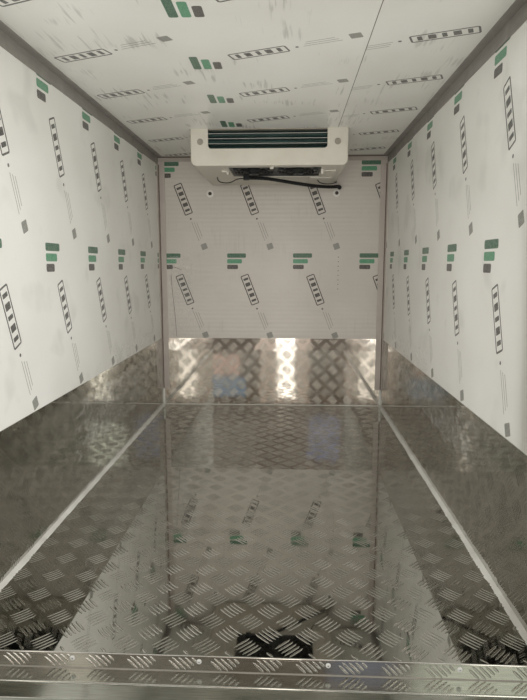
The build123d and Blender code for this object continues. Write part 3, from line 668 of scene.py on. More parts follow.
# %% Doors
for side in ("right", "left"):
    body = f"{side}_door"
    softened(f"{side}_door_leaf", gelcoat_finish, body, 2.0)
    softened(f"{side}_door_gasket", rubber_finish, body, 2.0)
    softened(f"{side}_hinge_straps", steel_y_finish, body, 1.0)
    softened(f"{side}_lock_gear", zinc_finish, body, 1.5)
print("finished two doors")

# %% [markdown]
# Tread plate is known by its bars: five parallel raised bars to a group, and groups turned by 90 degrees
# to their neighbours like a basket weave, all at 45 degrees to the sheet. Bump alone can't make them,
# because here they catch the light as real ridges and break the mirror of the floor, so each one is
# modelled. A bar is a low crowned mound with pointed ends, drawn as three rings of eight corners, each
# narrower and higher than the last.
#
# Like groups repeat every 70 mm along the sheet, so the weave's own squares are 70 / sqrt(2) mm wide. A
# bar that meets the edge of its sheet or the fold is shortened, as the press brake flattens it there.

# %% The bars of the tread plate
BAR_LENGTH = 37.0
BAR_WIDTH = 4.8
BAR_SPACING = 7.7
BARS_IN_GROUP = 5
SHORTEST_BAR = 9.0
REPEAT = 70.0
SQUARE = REPEAT / math.sqrt(2)
EDGE_MARGIN = 1.5
BAR_OUTLINE = [(1, 0), (0.7, 0.8), (0, 1), (-0.7, 0.8), (-1, 0), (-0.7, -0.8), (0, -1), (0.7, -0.8)]
BAR_RINGS = [
    # share of the length, share of the width, height in mm
    (1.0, 1.0, 0.0),
    (0.96, 0.74, 0.65),
    (0.88, 0.36, 1.05),
]
FACES_PER_BAR = (len(BAR_RINGS) - 1) * len(BAR_OUTLINE) + 1


def weave(left, right, low, high, shift):
    """Middles and directions of the bars near a sheet that spans left to right and low to high."""
    bars = []
    reach = int((right + high) / SQUARE) + 3
    offsets = [(k - (BARS_IN_GROUP - 1) / 2) * BAR_SPACING for k in range(BARS_IN_GROUP)]
    for i in range(-reach, reach):
        for j in range(-reach, reach):
            x = (i - j) * SQUARE / math.sqrt(2) + shift[0]
            y = (i + j + 1) * SQUARE / math.sqrt(2) + shift[1]
            if left - REPEAT < x < right + REPEAT and low - REPEAT < y < high + REPEAT:
                angle = math.pi / 4 if (i + j) % 2 else -math.pi / 4
                cos, sin = math.cos(angle), math.sin(angle)
                bars.extend([(x - offset * sin, y + offset * cos, cos, sin) for offset in offsets])
    return bars


def stretch_on_sheet(x, y, cos, sin, left, right, low, high):
    """The part of a bar's centre line that lies on the sheet, measured from its middle."""
    start, end = -BAR_LENGTH / 2, BAR_LENGTH / 2
    for place, share, near, far in ((x, cos, left, right), (y, sin, low, high)):
        ends = sorted(((near + EDGE_MARGIN - place) / share, (far - EDGE_MARGIN - place) / share))
        start, end = max(start, ends[0]), min(end, ends[1])
    return start, end


def bars_on_sheet(span, shift, carry, share=1.0):
    """All the bars of a sheet, at a share of their height. carry takes across, up and height to a place."""
    corners, faces = [], []
    count = len(BAR_OUTLINE)
    for x, y, cos, sin in weave(*span, shift):
        start, end = stretch_on_sheet(x, y, cos, sin, *span)
        if end - start < SHORTEST_BAR:
            continue
        base = len(corners)
        middle, half = (start + end) / 2, (end - start) / 2
        for long_share, wide_share, height in BAR_RINGS:
            for u, v in BAR_OUTLINE:
                along = middle + u * half * long_share
                across = v * BAR_WIDTH / 2 * wide_share
                sheet_x = x + along * cos - across * sin
                sheet_y = y + along * sin + across * cos
                corners.append(carry(sheet_x, sheet_y, height * share))
        for ring in range(len(BAR_RINGS) - 1):
            for k in range(count):
                a = base + ring * count + k
                b = base + ring * count + (k + 1) % count
                faces.append((a, b, b + count, a + count))
        faces.append(tuple(base + (len(BAR_RINGS) - 1) * count + k for k in range(count)))
    return corners, faces


print("one bar has", len(BAR_RINGS) * len(BAR_OUTLINE), "corners")

# %% [markdown]
# The floor is one sheet, folded down over the sill at the rear. Aluminium can't be folded to a knife
# edge, so the sheet's outline turns through a small arc, and that arc is the bright line along the edge.
# The bars of the flat part are drawn at 0.62 of their full height, to match how much of the mirror they
# break up in the photograph.

# %% Floor sheet with its folded edge
FOLD_RADIUS = 1.6
FOLD_STEPS = 8
SHEET_THICKNESS = 3
floor_width = 2 * wall_x / MM
floor_depth = (bulkhead_y - plate_y) / MM
lip_drop = (floor_z - sill_z) / MM
arc_length = FOLD_RADIUS * math.pi / 2
flat_length = floor_depth - FOLD_RADIUS
sheet_length = flat_length + arc_length + (lip_drop - FOLD_RADIUS)


def on_floor(across, up, height):
    """Carries a place on the unfolded floor sheet, measured from the bulkhead, to its place in the box."""
    x = -wall_x + across * MM
    if up <= flat_length:
        return Vector((x, bulkhead_y - up * MM, floor_z + height * MM))
    turn = min((up - flat_length) / FOLD_RADIUS, math.pi / 2)
    beyond = max(up - flat_length - arc_length, 0)
    reach = FOLD_RADIUS + height
    y = plate_y + (FOLD_RADIUS - reach * math.sin(turn)) * MM
    z = floor_z - (FOLD_RADIUS - reach * math.cos(turn) + beyond) * MM
    return Vector((x, y, z))


def floor_sheet():
    """The bare sheet, whose fold is an arc of short flat steps."""
    steps = [0.0, flat_length - 1.0, flat_length]
    steps += [flat_length + arc_length * k / FOLD_STEPS for k in range(1, FOLD_STEPS + 1)]
    steps.append(sheet_length)
    sides = [(height, x) for height in (0, -SHEET_THICKNESS) for x in (0, floor_width)]
    rows = [[on_floor(x, up, height) for up in steps] for height, x in sides]
    corners = [corner for row in rows for corner in row]
    n = len(steps)
    faces = []
    for k in range(n - 1):
        faces.append((k, k + 1, n + k + 1, n + k))
        faces.append((2 * n + k, 3 * n + k, 3 * n + k + 1, 2 * n + k + 1))
        faces.append((k, 2 * n + k, 2 * n + k + 1, k + 1))
        faces.append((n + k, n + k + 1, 3 * n + k + 1, 3 * n + k))
    faces.append((0, n, 3 * n, 2 * n))
    faces.append((n - 1, 3 * n - 1, 4 * n - 1, 2 * n - 1))
    return corners, faces


floor_piece = piece("floor_sheet", floor_sheet(), tread_finish, "box")
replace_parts(floor_piece, "floor_tread_plate")
FLOOR_SHIFT = (23, -17)
FLAT_BAR_SHARE = 0.62
LIP_BAR_SHARE = 1.1
flat_span = (0, floor_width, 0, flat_length)
lip_span = (0, floor_width, flat_length + arc_length, sheet_length)
floor_bars = gather([
    bars_on_sheet(flat_span, FLOOR_SHIFT, on_floor, FLAT_BAR_SHARE),
    bars_on_sheet(lip_span, FLOOR_SHIFT, on_floor, LIP_BAR_SHARE),
])
piece("floor_bars", floor_bars, bar_finish, "box")
print("floor bars:", len(floor_bars[1]) // FACES_PER_BAR)

# %% [markdown]
# The kick plates are the same plate, stood against the walls. They stay as the solids they are, with the
# plate's finish, and their bars are added on the face that looks into the box. Nothing has worn the front
# plate, so its bars stand at their full height. On the side plates the film bridges the bars and hides
# most of their height. Each plate is cut from another place of the pattern.

# %% Bars of the kick plates
kick_height = (kick_top - floor_z) / MM
kick_length = load_depth / MM
FILMED_BAR_SHARE = 0.3
FRONT_BAR_SHARE = 1.1
KICKS = [
    # name, length, shift of the pattern, finish, share of the height, carry from along, up and height in mm
    ("left_kick_bars", kick_length, (9, 14), filmed_finish, FILMED_BAR_SHARE,
     lambda a, u, h: Vector((-kick_x + h * MM, fold_y + a * MM, floor_z + u * MM))),
    ("right_kick_bars", kick_length, (26, 19), filmed_finish, FILMED_BAR_SHARE,
     lambda a, u, h: Vector((kick_x - h * MM, bulkhead_y - a * MM, floor_z + u * MM))),
    ("front_kick_bars", 2 * kick_x / MM, (43, 24), kick_bar_finish_painted_paler, FRONT_BAR_SHARE,
     lambda a, u, h: Vector((-kick_x + a * MM, kick_y - h * MM, floor_z + u * MM))),
]
for name, length, shift, finish, share, carry in KICKS:
    bars = bars_on_sheet((0, length, 0, kick_height), shift, carry, share)
    piece(name, bars, finish, "box")
    print(name, len(bars[1]) // FACES_PER_BAR)
for node, finish in (("side_kick_plates", filmed_finish), ("front_kick_plate", kick_finish)):
    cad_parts[node].data.materials.clear()
    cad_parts[node].data.materials.append(finish)

# %% [markdown]
# The linings are thin sheets that lie on the inner faces of the panels, from the kick plates to the
# ceiling. The film on them isn't flat: it is loose along the kick plates and in the corners, where it
# stands off by about a millimetre. Each sheet is a grid whose points are pushed out by smooth noise that
# grows towards those edges.

# %% Linings with loose film
SHEET_LIFT_MM = 0.4
LOOSE_LIFT_MM = 0.6
LOOSE_BORDER = 0.06
WRINKLES_PER_METRE = 38
LINING_STEPS = (110, 80)


def lining(name, corner, along, up, normal, film):
    """A sheet from a corner, spanned by two vectors, whose film is loose along its foot and its ends."""
    columns, rows = LINING_STEPS
    corner, along, up, normal = Vector(corner), Vector(along), Vector(up), Vector(normal)
    corners = []
    for j in range(rows + 1):
        for i in range(columns + 1):
            s, t = i / columns, j / rows
            place = corner + along * s + up * t
            edge = min(s * along.length, (1 - s) * along.length, t * up.length) / LOOSE_BORDER
            lift = max(0.0, 1 - edge) * LOOSE_LIFT_MM
            wrinkle = 0.5 + noise.noise(place * WRINKLES_PER_METRE)
            corners.append(place + normal * (SHEET_LIFT_MM + lift * max(wrinkle, 0)) * MM)
    faces = []
    for j in range(rows):
        for i in range(columns):
            a = j * (columns + 1) + i
            faces.append((a, a + 1, a + columns + 2, a + columns + 1))
    piece(name, (corners, faces), film, "box")


to_bulkhead = (0, load_depth, 0)
to_doorway = (0, -load_depth, 0)
wall_rise = (0, 0, ceiling_z - kick_top)
SEAM_X = 0.2425
SEAM_GAP = 0.0016
seam_end = SEAM_X + SEAM_GAP
LININGS = [
    # name, corner, along, up, normal, film
    ("left_lining", (-wall_x, bulkhead_y, kick_top), to_doorway, wall_rise, (1, 0, 0), left_film),
    ("right_lining", (wall_x, fold_y, kick_top), to_bulkhead, wall_rise, (-1, 0, 0), right_film),
    ("bulkhead_lining", (-wall_x, bulkhead_y, kick_top), (2 * wall_x, 0, 0), wall_rise,
     (0, -1, 0), front_film_painted_darker),
    ("ceiling_lining", (-wall_x, bulkhead_y, ceiling_z), (wall_x + SEAM_X, 0, 0), to_doorway,
     (0, 0, -1), ceiling_film),
    ("ceiling_strip", (seam_end, bulkhead_y, ceiling_z), (wall_x - SEAM_X - SEAM_GAP, 0, 0), to_doorway,
     (0, 0, -1), strip_film),
]
for row in LININGS:
    lining(*row)
# The seam is a dark strip 1.6 mm wide at the bottom of the gap between the two sheets: partly a dark joint,
# partly painted shade for the gap's shadow.
seam = rounded_block((SEAM_X, fold_y, ceiling_z - 0.3 * MM), (seam_end, bulkhead_y, ceiling_z), 0.1, 1)
piece("ceiling_seam_shade", seam, joint_finish, "box")
print("made", len(LININGS), "linings and a seam")

# %% [markdown]
# The clear film of the side plates has come loose near the bulkhead and stands up in crumpled rags, and
# so has the film in the bulkhead's left corner. A rag is a grid lifted by ridged noise, which folds
# sharply like film, and its outline is torn: faces are left out near the border where a second noise is
# low.

# %% Rags of loose film
def clear_film():
    """Clear polyethylene: mostly transparent, and painted whiter and less clear on its folds, a painted
    sheen.
    """
    material, tree, shader, place = new_finish("clear crumpled film, folds painted paler", roughness=0.12, IOR=1.5)
    folds = speckle(tree, place, 24, detail=3.0, distortion=1.5)
    # Painted highlight: the folds are painted whiter and less clear, where crumpled film catches the light.
    colour = blend_colours(tree, ramp(tree, folds, 0, 1), "#dcdcd8", "#f4f4f1")
    tree.links.new(colour, shader.inputs["Base Color"])
    tree.links.new(ramp(tree, folds, 0.03, 0.26, 0.4, 0.75), shader.inputs["Alpha"])
    relief(tree, shader, folds, 1.2)
    return material


RAG_STAND_OFF_MM = 1.8
RIDGES_PER_METRE = 14
RIDGE_OCTAVES = 3
RIDGE_SUM = 1.75
TEAR_SCALE = (0.23, 0.35)
TEAR_BORDER = 6
TEAR_LEVEL = 0.45


def rag(corner, along, up, normal, steps, lift_mm, seed):
    """A torn, crumpled sheet from a corner, spanned by two vectors."""
    columns, rows = steps
    corner, along, up, normal = Vector(corner), Vector(along), Vector(up), Vector(normal)
    corners, faces = [], []
    for j in range(rows + 1):
        for i in range(columns + 1):
            place = corner + along * (i / columns) + up * (j / rows)
            shifted = place * RIDGES_PER_METRE + Vector((seed, 0, 0))
            ridges = [(1 - 2 * abs(noise.noise(shifted * 2 ** k))) / 2 ** k for k in range(RIDGE_OCTAVES)]
            lift = lift_mm * max(sum(ridges) / RIDGE_SUM, 0)
            corners.append(place + normal * (RAG_STAND_OFF_MM + lift) * MM)
    for j in range(rows):
        for i in range(columns):
            border = min(i + 1, columns - i, 3 * (j + 1), 3 * (rows - j)) / columns
            tear = noise.noise(Vector((i * TEAR_SCALE[0], j * TEAR_SCALE[1], seed)))
            if tear + TEAR_BORDER * border > TEAR_LEVEL:
                a = j * (columns + 1) + i
                faces.append((a, a + 1, a + columns + 2, a + columns + 1))
    return corners, faces


film_finish = clear_film()
SEED_STEP = 7.3
RAGS = [
    # name, corner, along, up, normal, steps, lift in mm
    ("left_kick_rag", (-kick_x, -0.25, kick_top - 0.20), (0, 0.86, 0), (0, 0, 0.17), (1, 0, 0), (90, 30), 6),
    ("left_wall_rag", (-wall_x, 0.10, kick_top - 0.01), (0, 0.60, 0), (0, 0, 0.07), (1, 0, 0), (70, 14), 4),
    ("right_kick_rag", (kick_x, -0.48, kick_top - 0.13), (0, 1.0, 0), (0, 0, 0.12), (-1, 0, 0), (100, 24), 6),
    ("right_wall_rag", (wall_x, 0.0, kick_top - 0.01), (0, 0.62, 0), (0, 0, 0.08), (-1, 0, 0), (70, 14), 4),
    ("bulkhead_rag", (-kick_x + 0.035, bulkhead_y, kick_top + 0.01), (0.11, 0, 0), (0, 0, 0.36),
     (0, -1, 0), (24, 60), 4),
]
for index, (name, *shape) in enumerate(RAGS):
    sheet = rag(*shape, index * SEED_STEP)
    piece(name, sheet, film_finish, "box")
    print(name, len(sheet[1]))

# %% [markdown]
# Two creases and a row of eight pin marks, 20 mm apart, show as fine dark lines and dots on the
# bulkhead's film. The creases are thin dark wires along a few listed points, painted shade for the
# shadow in the film's folds, and a mark is a flat disc 4 mm across.

# %% Painted shade of the creases, and pin marks
CREASE_SHADES = [
    # places on the bulkhead in metres, across and up
    [(-0.456, 0.797), (-0.446, 0.802), (-0.428, 0.799), (-0.402, 0.788)],
    [(-0.452, 0.770), (-0.447, 0.690), (-0.438, 0.590), (-0.432, 0.490)],
]
CREASE_SHADE_WIDTH = 2.0
PIN_MARK = [(2.2, 0), (2.2, 0.4)]
PIN_X = 0.295
PIN_LOWEST = 0.705
PIN_PITCH = 0.02
PIN_COUNT = 8

marks = []
# Painted shade: each of the creases becomes a thin dark wire laid where the folded film throws shade.
for crease_shade in CREASE_SHADES:
    spots = [Vector((x, bulkhead_y - 1.0 * MM, z)) for x, z in crease_shade]
    marks += [straight_wire(a, b, CREASE_SHADE_WIDTH) for a, b in zip(spots, spots[1:])]
for k in range(PIN_COUNT):
    spot = (PIN_X, bulkhead_y - 1.2 * MM, PIN_LOWEST + PIN_PITCH * k)
    marks.append(moved(turned(PIN_MARK, 12), facing((0, -1, 0), spot)))
piece("crease_shades_and_pin_marks", gather(marks), joint_finish, "box")
print("creases and pin marks:", len(marks))

# %% [markdown]
# The joint between the floor and the side kick plates is sealed with a bead of white polyurethane, run by
# hand and smoothed with a finger. It is a low fillet whose width wanders, with a blob here and there.
# Thin beads go up the two front corners as far as the angles and along the foot of the folded edge, and
# the front joint has only a hairline. The joints behind the angles are filled with a brown sealant, which
# shows as a dark line in each corner.

# %% Beads of sealant
BEAD_STEP = 0.006
BEAD_PROFILE = [
    # share of the width, share of the height
    (0.0, 0.0),
    (0.0, 1.0),
    (0.25, 0.8),
    (0.55, 0.42),
    (0.85, 0.2),
    (1.0, 0.0),
]
SLOW_WAVES = 9
QUICK_WAVES = 60
BLOB_WAVES = 34


def bead(start, end, inward, rise, width_mm, height_mm, wander_mm, seed):
    """A hand-run fillet from start to end, spreading along inward and rise by a width and a height."""
    start, end, inward, rise = Vector(start), Vector(end), Vector(inward), Vector(rise)
    length = (end - start).length
    count = max(2, int(length / BEAD_STEP))
    sides = len(BEAD_PROFILE)
    corners, faces = [], []
    for i in range(count + 1):
        t = i / count
        place = start.lerp(end, t)
        slow = noise.noise(Vector((t * length * SLOW_WAVES, seed, 0)))
        quick = noise.noise(Vector((t * length * QUICK_WAVES, seed, 9)))
        wander = slow + 0.4 * quick
        blob = max(0, noise.noise(Vector((t * length * BLOB_WAVES, seed + 5, 0))) - 0.25)
        width = (width_mm + wander_mm * (wander + 2.5 * blob)) * MM
        height = (height_mm + wander_mm * (0.3 * wander + blob)) * MM
        for share, high in BEAD_PROFILE:
            corners.append(place + inward * width * share + rise * height * high)
    for i in range(count):
        for k in range(sides - 1):
            a = i * sides + k
            faces.append((a, a + sides, a + sides + 1, a + 1))
    faces.append(tuple(reversed(range(sides))))
    faces.append(tuple(count * sides + k for k in range(sides)))
    return corners, faces


corner_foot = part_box("corner_angles")[0].z
UP = (0, 0, 1)
floor_beads = [
    bead((-kick_x, fold_y, floor_z), (-kick_x, kick_y, floor_z), (1, 0, 0), UP, 11.5, 5.0, 3.0, 1),
    bead((kick_x, kick_y, floor_z), (kick_x, fold_y, floor_z), (-1, 0, 0), UP, 11.0, 5.0, 2.4, 2),
    bead((-kick_x, kick_y, floor_z), (kick_x, kick_y, floor_z), (0, -1, 0), UP, 2.2, 2.0, 0.5, 3),
]
for sign in (-1, 1):
    foot, head = (sign * kick_x, kick_y, floor_z), (sign * kick_x, kick_y, corner_foot)
    floor_beads.append(bead(foot, head, (-sign, 0, 0), (0, -1, 0), 6.5, 6.5, 1.2, 7 + sign))
bead_piece = piece("sealant_beads", gather(floor_beads), sealant_finish, "box")
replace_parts(bead_piece, "floor_sealant")
lip_foot = bead((-wall_x, plate_y, sill_z), (wall_x, plate_y, sill_z), (0, -1, 0), UP, 1.9, 1.7, 0.3, 4)
piece("lip_bead", lip_foot, cover_finish, "box")

inner_x = wall_x - 2 * MM
inner_top = ceiling_z - 2 * MM
joint_y = bulkhead_y - 4 * MM
joint_ends = ((-inner_x, joint_y, inner_top), (inner_x, joint_y, inner_top))
joints = [bead(*joint_ends, (0, -1, 0), (0, 0, -1), 4, 3.0, 0.5, 11)]
for sign in (-1, 1):
    corner_x = sign * (wall_x - 4 * MM)
    joint_ends = ((corner_x, joint_y, corner_foot), (corner_x, joint_y, ceiling_z - 34 * MM))
    joints.append(bead(*joint_ends, (-sign, 0, 0), (0, -1, 0), 2.6, 4, 0.6, 12 + sign))
piece("corner_joints", gather(joints), joint_finish, "box")
print("beads:", len(floor_beads) + 1, "and dark joints:", len(joints))

# %% [markdown]
# Blind rivets hold the folded edge down every 213 mm. Their domed heads are 9 mm across and lacquered
# white, with the grey end of the broken-off mandrel in the middle. They are turned from short profiles.

# %% Rivets of the nosing
RIVET = [(4.3, 0.0), (4.3, 0.6), (3.8, 1.4), (2.8, 1.9), (1.5, 2.0), (1.4, 1.6), (0.3, 1.5)]
MANDREL = [(1.3, 1.5), (1.3, 1.8), (0.2, 1.85)]
RIVET_PITCH = 212.7
SECOND_RIVET = -278.0
RIVET_DROP = 10.0

rivet_spots = []
for k in range(-1, 4):
    rivet_x = (SECOND_RIVET + RIVET_PITCH * k) * MM
    rivet_spots.append(facing((0, -1, 0), (rivet_x, plate_y, floor_z - RIVET_DROP * MM)))
nosing_rivets = [moved(turned(RIVET, 20), spot) for spot in rivet_spots]
mandrels = [moved(turned(MANDREL, 12), spot) for spot in rivet_spots]
piece("nosing_rivets", gather(nosing_rivets), lacquer_finish, "box")
piece("nosing_mandrels", gather(mandrels), zinc_finish, "box")
print("rivets:", len(nosing_rivets))

# %% [markdown]
# A cord lies on one smooth line. The black loom comes out of a clip on the fan plate, hangs below the
# unit and goes into a grommet in the bulkhead. Two thin wires leave the unit's underside: the left one
# joins the clip, and the right one goes into the bulkhead. Each route is a short list of points, and a
# NURBS spline turns it into a line.
#
# The loom is a tube that follows its line, wound with tape in turns 13 mm apart. The photograph shows it
# from end to end, so its length is the real one.

# %% Loom and wires below the unit
unit_low, unit_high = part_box("evaporator_shell")
unit_x = (unit_low.x + unit_high.x) / 2
LOOM_RADIUS = 7.0
WIRE_RADIUS = 2.0
GROMMET_LENGTH = 6.0
LOOM_ROUTE = [
    # mm: x from the middle of the unit, y back from the bulkhead, z down from the unit's underside
    (-86.0, 270.0, 6.0),
    (-34.0, 270.0, 6.0),
    (38.0, 246.0, 14.0),
    (112.0, 200.0, 20.0),
    (184.0, 146.0, 23.0),
    (248.0, 96.0, 20.0),
    (288.0, 48.0, 10.0),
    (288.0, GROMMET_LENGTH, 10.0),
]
LEFT_WIRE_ROUTE = [
    (-212.0, 254.0, 0.0),
    (-212.0, 254.0, 14.0),
    (-190.0, 258.0, 23.0),
    (-158.0, 264.0, 23.0),
    (-132.0, 270.0, 8.0),
    (-108.0, 270.0, 8.0),
]
RIGHT_WIRE_ROUTE = [
    (182.0, 220.0, 0.0),
    (182.0, 220.0, 15.0),
    (210.0, 190.0, 20.0),
    (244.0, 145.0, 14.0),
    (266.0, 95.0, 0.0),
    (273.0, 40.0, -9.0),
    (273.0, 0.0, -9.0),
]


def from_unit(point):
    """A place given from the unit's middle, the bulkhead and the unit's underside."""
    x, back, down = point
    return Vector((unit_x + x * MM, bulkhead_y - back * MM, unit_low.z - down * MM))


def route_curve(name, route, radius):
    """A curve object whose one NURBS spline follows a route."""
    curve = bpy.data.curves.new(name, "CURVE")
    curve.dimensions = "3D"
    spline = curve.splines.new("NURBS")
    spline.points.add(len(route) - 1)
    for target, point in zip(spline.points, route):
        target.co = (*from_unit(point), 1)
    spline.order_u = 3
    spline.use_endpoint_u = True
    spline.resolution_u = 10
    curve.bevel_depth = radius
    curve.bevel_resolution = 4
    return bpy.data.objects.new(name, curve)


def line_points(route):
    """Points along the NURBS line of a route, as Blender draws it."""
    thing = route_curve("line", route, 0)
    points = [v.co.copy() for v in bpy.data.meshes.new_from_object(thing).vertices]
    bpy.data.objects.remove(thing)
    return points


def line_length(points):
    """The length of a line through points."""
    return sum((b - a).length for a, b in zip(points, points[1:]))


def taped_tube(points, radius_mm, turn_mm, step_mm, overlap_mm, sides=18):
    """A tube wound with tape. Each turn overlaps the last, which leaves a step like a thread's."""
    corners, faces = [], []
    travelled = 0.0
    side = Vector((0, 0, 1))
    stations = [points[0]]
    for a, b in zip(points, points[1:]):
        parts = max(1, round((b - a).length / (step_mm * MM)))
        stations.extend([a.lerp(b, (k + 1) / parts) for k in range(parts)])
    for i, place in enumerate(stations):
        forward = (stations[min(i + 1, len(stations) - 1)] - stations[max(i - 1, 0)]).normalized()
        side = (side - forward * side.dot(forward)).normalized()
        up = forward.cross(side)
        if i:
            travelled += (place - stations[i - 1]).length / MM
        for k in range(sides):
            angle = 2 * math.pi * k / sides
            phase = (travelled / turn_mm + k / sides) % 1.0
            radius = (radius_mm - overlap_mm * phase) * MM
            corners.append(place + (side * math.cos(angle) + up * math.sin(angle)) * radius)
    for i in range(len(stations) - 1):
        for k in range(sides):
            a, b = i * sides + k, i * sides + (k + 1) % sides
            faces.append((a, b, b + sides, a + sides))
    faces.append(tuple(reversed(range(sides))))
    faces.append(tuple(range((len(stations) - 1) * sides, len(stations) * sides)))
    return corners, faces


loom_line = line_points(LOOM_ROUTE)
loom_tube = taped_tube(loom_line, LOOM_RADIUS, turn_mm=13.0, step_mm=1.5, overlap_mm=0.7)
loom = piece("loom", loom_tube, loom_finish, "box")
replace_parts(loom, "evaporator_loom")
for name, route in (("left_wire", LEFT_WIRE_ROUTE), ("right_wire", RIGHT_WIRE_ROUTE)):
    wire = route_curve(name, route, WIRE_RADIUS * MM)
    wire.data.materials.append(coated_wire_finish)
    bpy.context.scene.collection.objects.link(wire)
    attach(wire, "box")
    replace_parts(wire, "fan_wires")
    wire_length = line_length(line_points(route))
    print(name, round(wire_length, 3), "m")

# %% [markdown]
# The coils are stacks of thin coated aluminium fins on tubes. A plain block would catch the light as one
# face, so the fins are separate plates: 4 mm apart in the evaporator, because frost grows between them,
# and 2.5 mm apart in the condenser. The tubes run across and show between the fins.

# %% Coils
def thin_box(low, high):
    """A plain box with sharp edges, for sheet metal that is too thin to round."""
    xs, ys, zs = zip(low, high)
    corners = [Vector((x, y, z)) for z in zs for y in ys for x in xs]
    faces = [(0, 2, 3, 1), (4, 5, 7, 6), (0, 1, 5, 4), (2, 6, 7, 3), (0, 4, 6, 2), (1, 3, 7, 5)]
    return corners, faces


TUBE_DEPTHS = (0.28, 0.72)


def finned_coil(node, pitch_mm, fin_mm, tube_mm, tube_rows, name):
    """Fins across X and tubes along it, in the place of a coil's block."""
    low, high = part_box(node)
    parts = []
    count = int((high.x - low.x) / MM / pitch_mm)
    for i in range(count + 1):
        x = low.x + (high.x - low.x - fin_mm * MM) * i / count
        parts.append(thin_box((x, low.y, low.z), (x + fin_mm * MM, high.y, high.z)))
    tube = turned([(tube_mm / 2, 0), (tube_mm / 2, (high.x - low.x) / MM)], 12)
    for row in range(tube_rows):
        z = low.z + (high.z - low.z) * (row + 0.5) / tube_rows
        for depth in TUBE_DEPTHS:
            y = low.y + (high.y - low.y) * depth
            parts.append(moved(tube, facing((1, 0, 0), (low.x, y, z))))
    coil = piece(name, gather(parts), fin_finish, "box")
    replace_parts(coil, node)
    return count


print("evaporator fins", finned_coil("evaporator_coil", 4.0, 0.5, 9.5, 5, "evaporator_fins"))
print("condenser fins", finned_coil("condenser_coil", 2.5, 0.4, 8.0, 9, "condenser_fins"))

# %% [markdown]
# The fans are moulded in black polyamide. Their blades ride on their own bodies, so they turn with the
# joints.

# %% Fans
for unit in ("evaporator", "condenser"):
    for side in ("left", "right"):
        body = f"{side}_{unit}_fan"
        softened(f"{unit}_fan_{side}", polyamide_finish, body, 0.5, segments=1)
print("finished four fans")

# %% [markdown]
# The wire guards stay on the housing while the fans turn. A guard is bent and welded from coated wire
# between 2 and 3 mm thick: rings on radial spokes. On the evaporator it sits just below the fan plate,
# where a hand could reach the blades.

# %% Wire guards
def wire_ring(radius_mm, wire_mm, steps=56, sides=8):
    """A ring of round wire about Z."""
    corners, faces = [], []
    for i in range(steps):
        turn = 2 * math.pi * i / steps
        for k in range(sides):
            angle = 2 * math.pi * k / sides
            reach = radius_mm + wire_mm / 2 * math.cos(angle)
            height = wire_mm / 2 * math.sin(angle)
            corners.append(Vector((reach * math.cos(turn), reach * math.sin(turn), height)) * MM)
    for i in range(steps):
        for k in range(sides):
            a, b = i * sides + k, i * sides + (k + 1) % sides
            c, d = (a + sides) % (steps * sides), (b + sides) % (steps * sides)
            faces.append((a, c, d, b))
    return corners, faces


def guard(radii, wire_mm, spokes, spoke_from, spoke_to, lift_mm):
    """Rings on spokes, about Z. The spokes lie lift_mm above the rings."""
    parts = [wire_ring(radius, wire_mm) for radius in radii]
    for i in range(spokes):
        turn = 2 * math.pi * i / spokes
        out = Vector((math.cos(turn), math.sin(turn), 0))
        lift = Vector((0, 0, lift_mm * MM))
        parts.append(straight_wire(out * spoke_from * MM + lift, out * spoke_to * MM + lift, wire_mm))
    return gather(parts)


def middle(node):
    """The middle of a solid."""
    low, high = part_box(node)
    return (low + high) / 2


plate_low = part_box("evaporator_fan_plate")[0]
evaporator_guards = []
for side in ("left", "right"):
    hub = middle(f"evaporator_fan_{side}")
    cage = guard([26, 38, 50, 62, 74], wire_mm=2.2, spokes=4, spoke_from=12, spoke_to=76, lift_mm=2.0)
    evaporator_guards.append(moved(cage, Matrix.Translation((hub.x, hub.y, plate_low.z - 4.2 * MM))))
piece("evaporator_guards", gather(evaporator_guards), coated_wire_finish, "box")

GUARD_RADIUS = 96.5
GUARD_STEP = 24.5
GUARD_WIRE = 2.6
guard_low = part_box("condenser_guards")[0]
condenser_guards = []
for side in ("left", "right"):
    hub = middle(f"condenser_fan_{side}")
    rings = [GUARD_STEP, 2 * GUARD_STEP, 3 * GUARD_STEP, GUARD_RADIUS, GUARD_RADIUS - 3]
    rings += [1.5 * GUARD_STEP, 2.5 * GUARD_STEP, 3.5 * GUARD_STEP]
    cage = guard(rings, GUARD_WIRE, spokes=6, spoke_from=0, spoke_to=GUARD_RADIUS, lift_mm=-2.0)
    spot = Vector((hub.x, guard_low.y + GUARD_WIRE * MM, hub.z))
    condenser_guards.append(moved(cage, facing((0, 1, 0), spot)))
guards = piece("condenser_wire_guards", gather(condenser_guards), coated_wire_finish, "box")
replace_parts(guards, "condenser_guards")
print("made guards for four fans")

# %% [markdown]
# The unit's fascia has two screws under round covers, and a grey seal lies between the shell and the
# ceiling. A white clip holds the lower lip to the fan plate. Each motor hangs below the fan plate between
# two square feet, and these black bodies make most of the dark mass below the unit. Small white brackets
# stand at the intake's ends.

# %% Details of the cooling unit
COVER = [(11.0, 0.0), (11.0, 0.8), (10.0, 1.3), (8.2, 1.3), (7.6, 0.6), (6.8, 0.6), (6.2, 1.2), (0.4, 1.4)]
MOTOR = [(19.0, 0.0), (20.0, 2.0), (20.0, 8.0), (17.0, 10.5), (8.0, 11.0), (7.0, 9.0), (0.5, 9.0)]
COVER_SPOTS = [
    # mm across from the middle of the unit, metres up from the floor
    (-239, 1.061),
    (237, 1.059),
]
covers = []
for across, up in COVER_SPOTS:
    spot = (unit_x + across * MM, unit_low.y, floor_z + up)
    covers.append(moved(turned(COVER, 28), facing((0, -1, 0), spot)))
piece("screw_covers", gather(covers), cover_finish, "box")

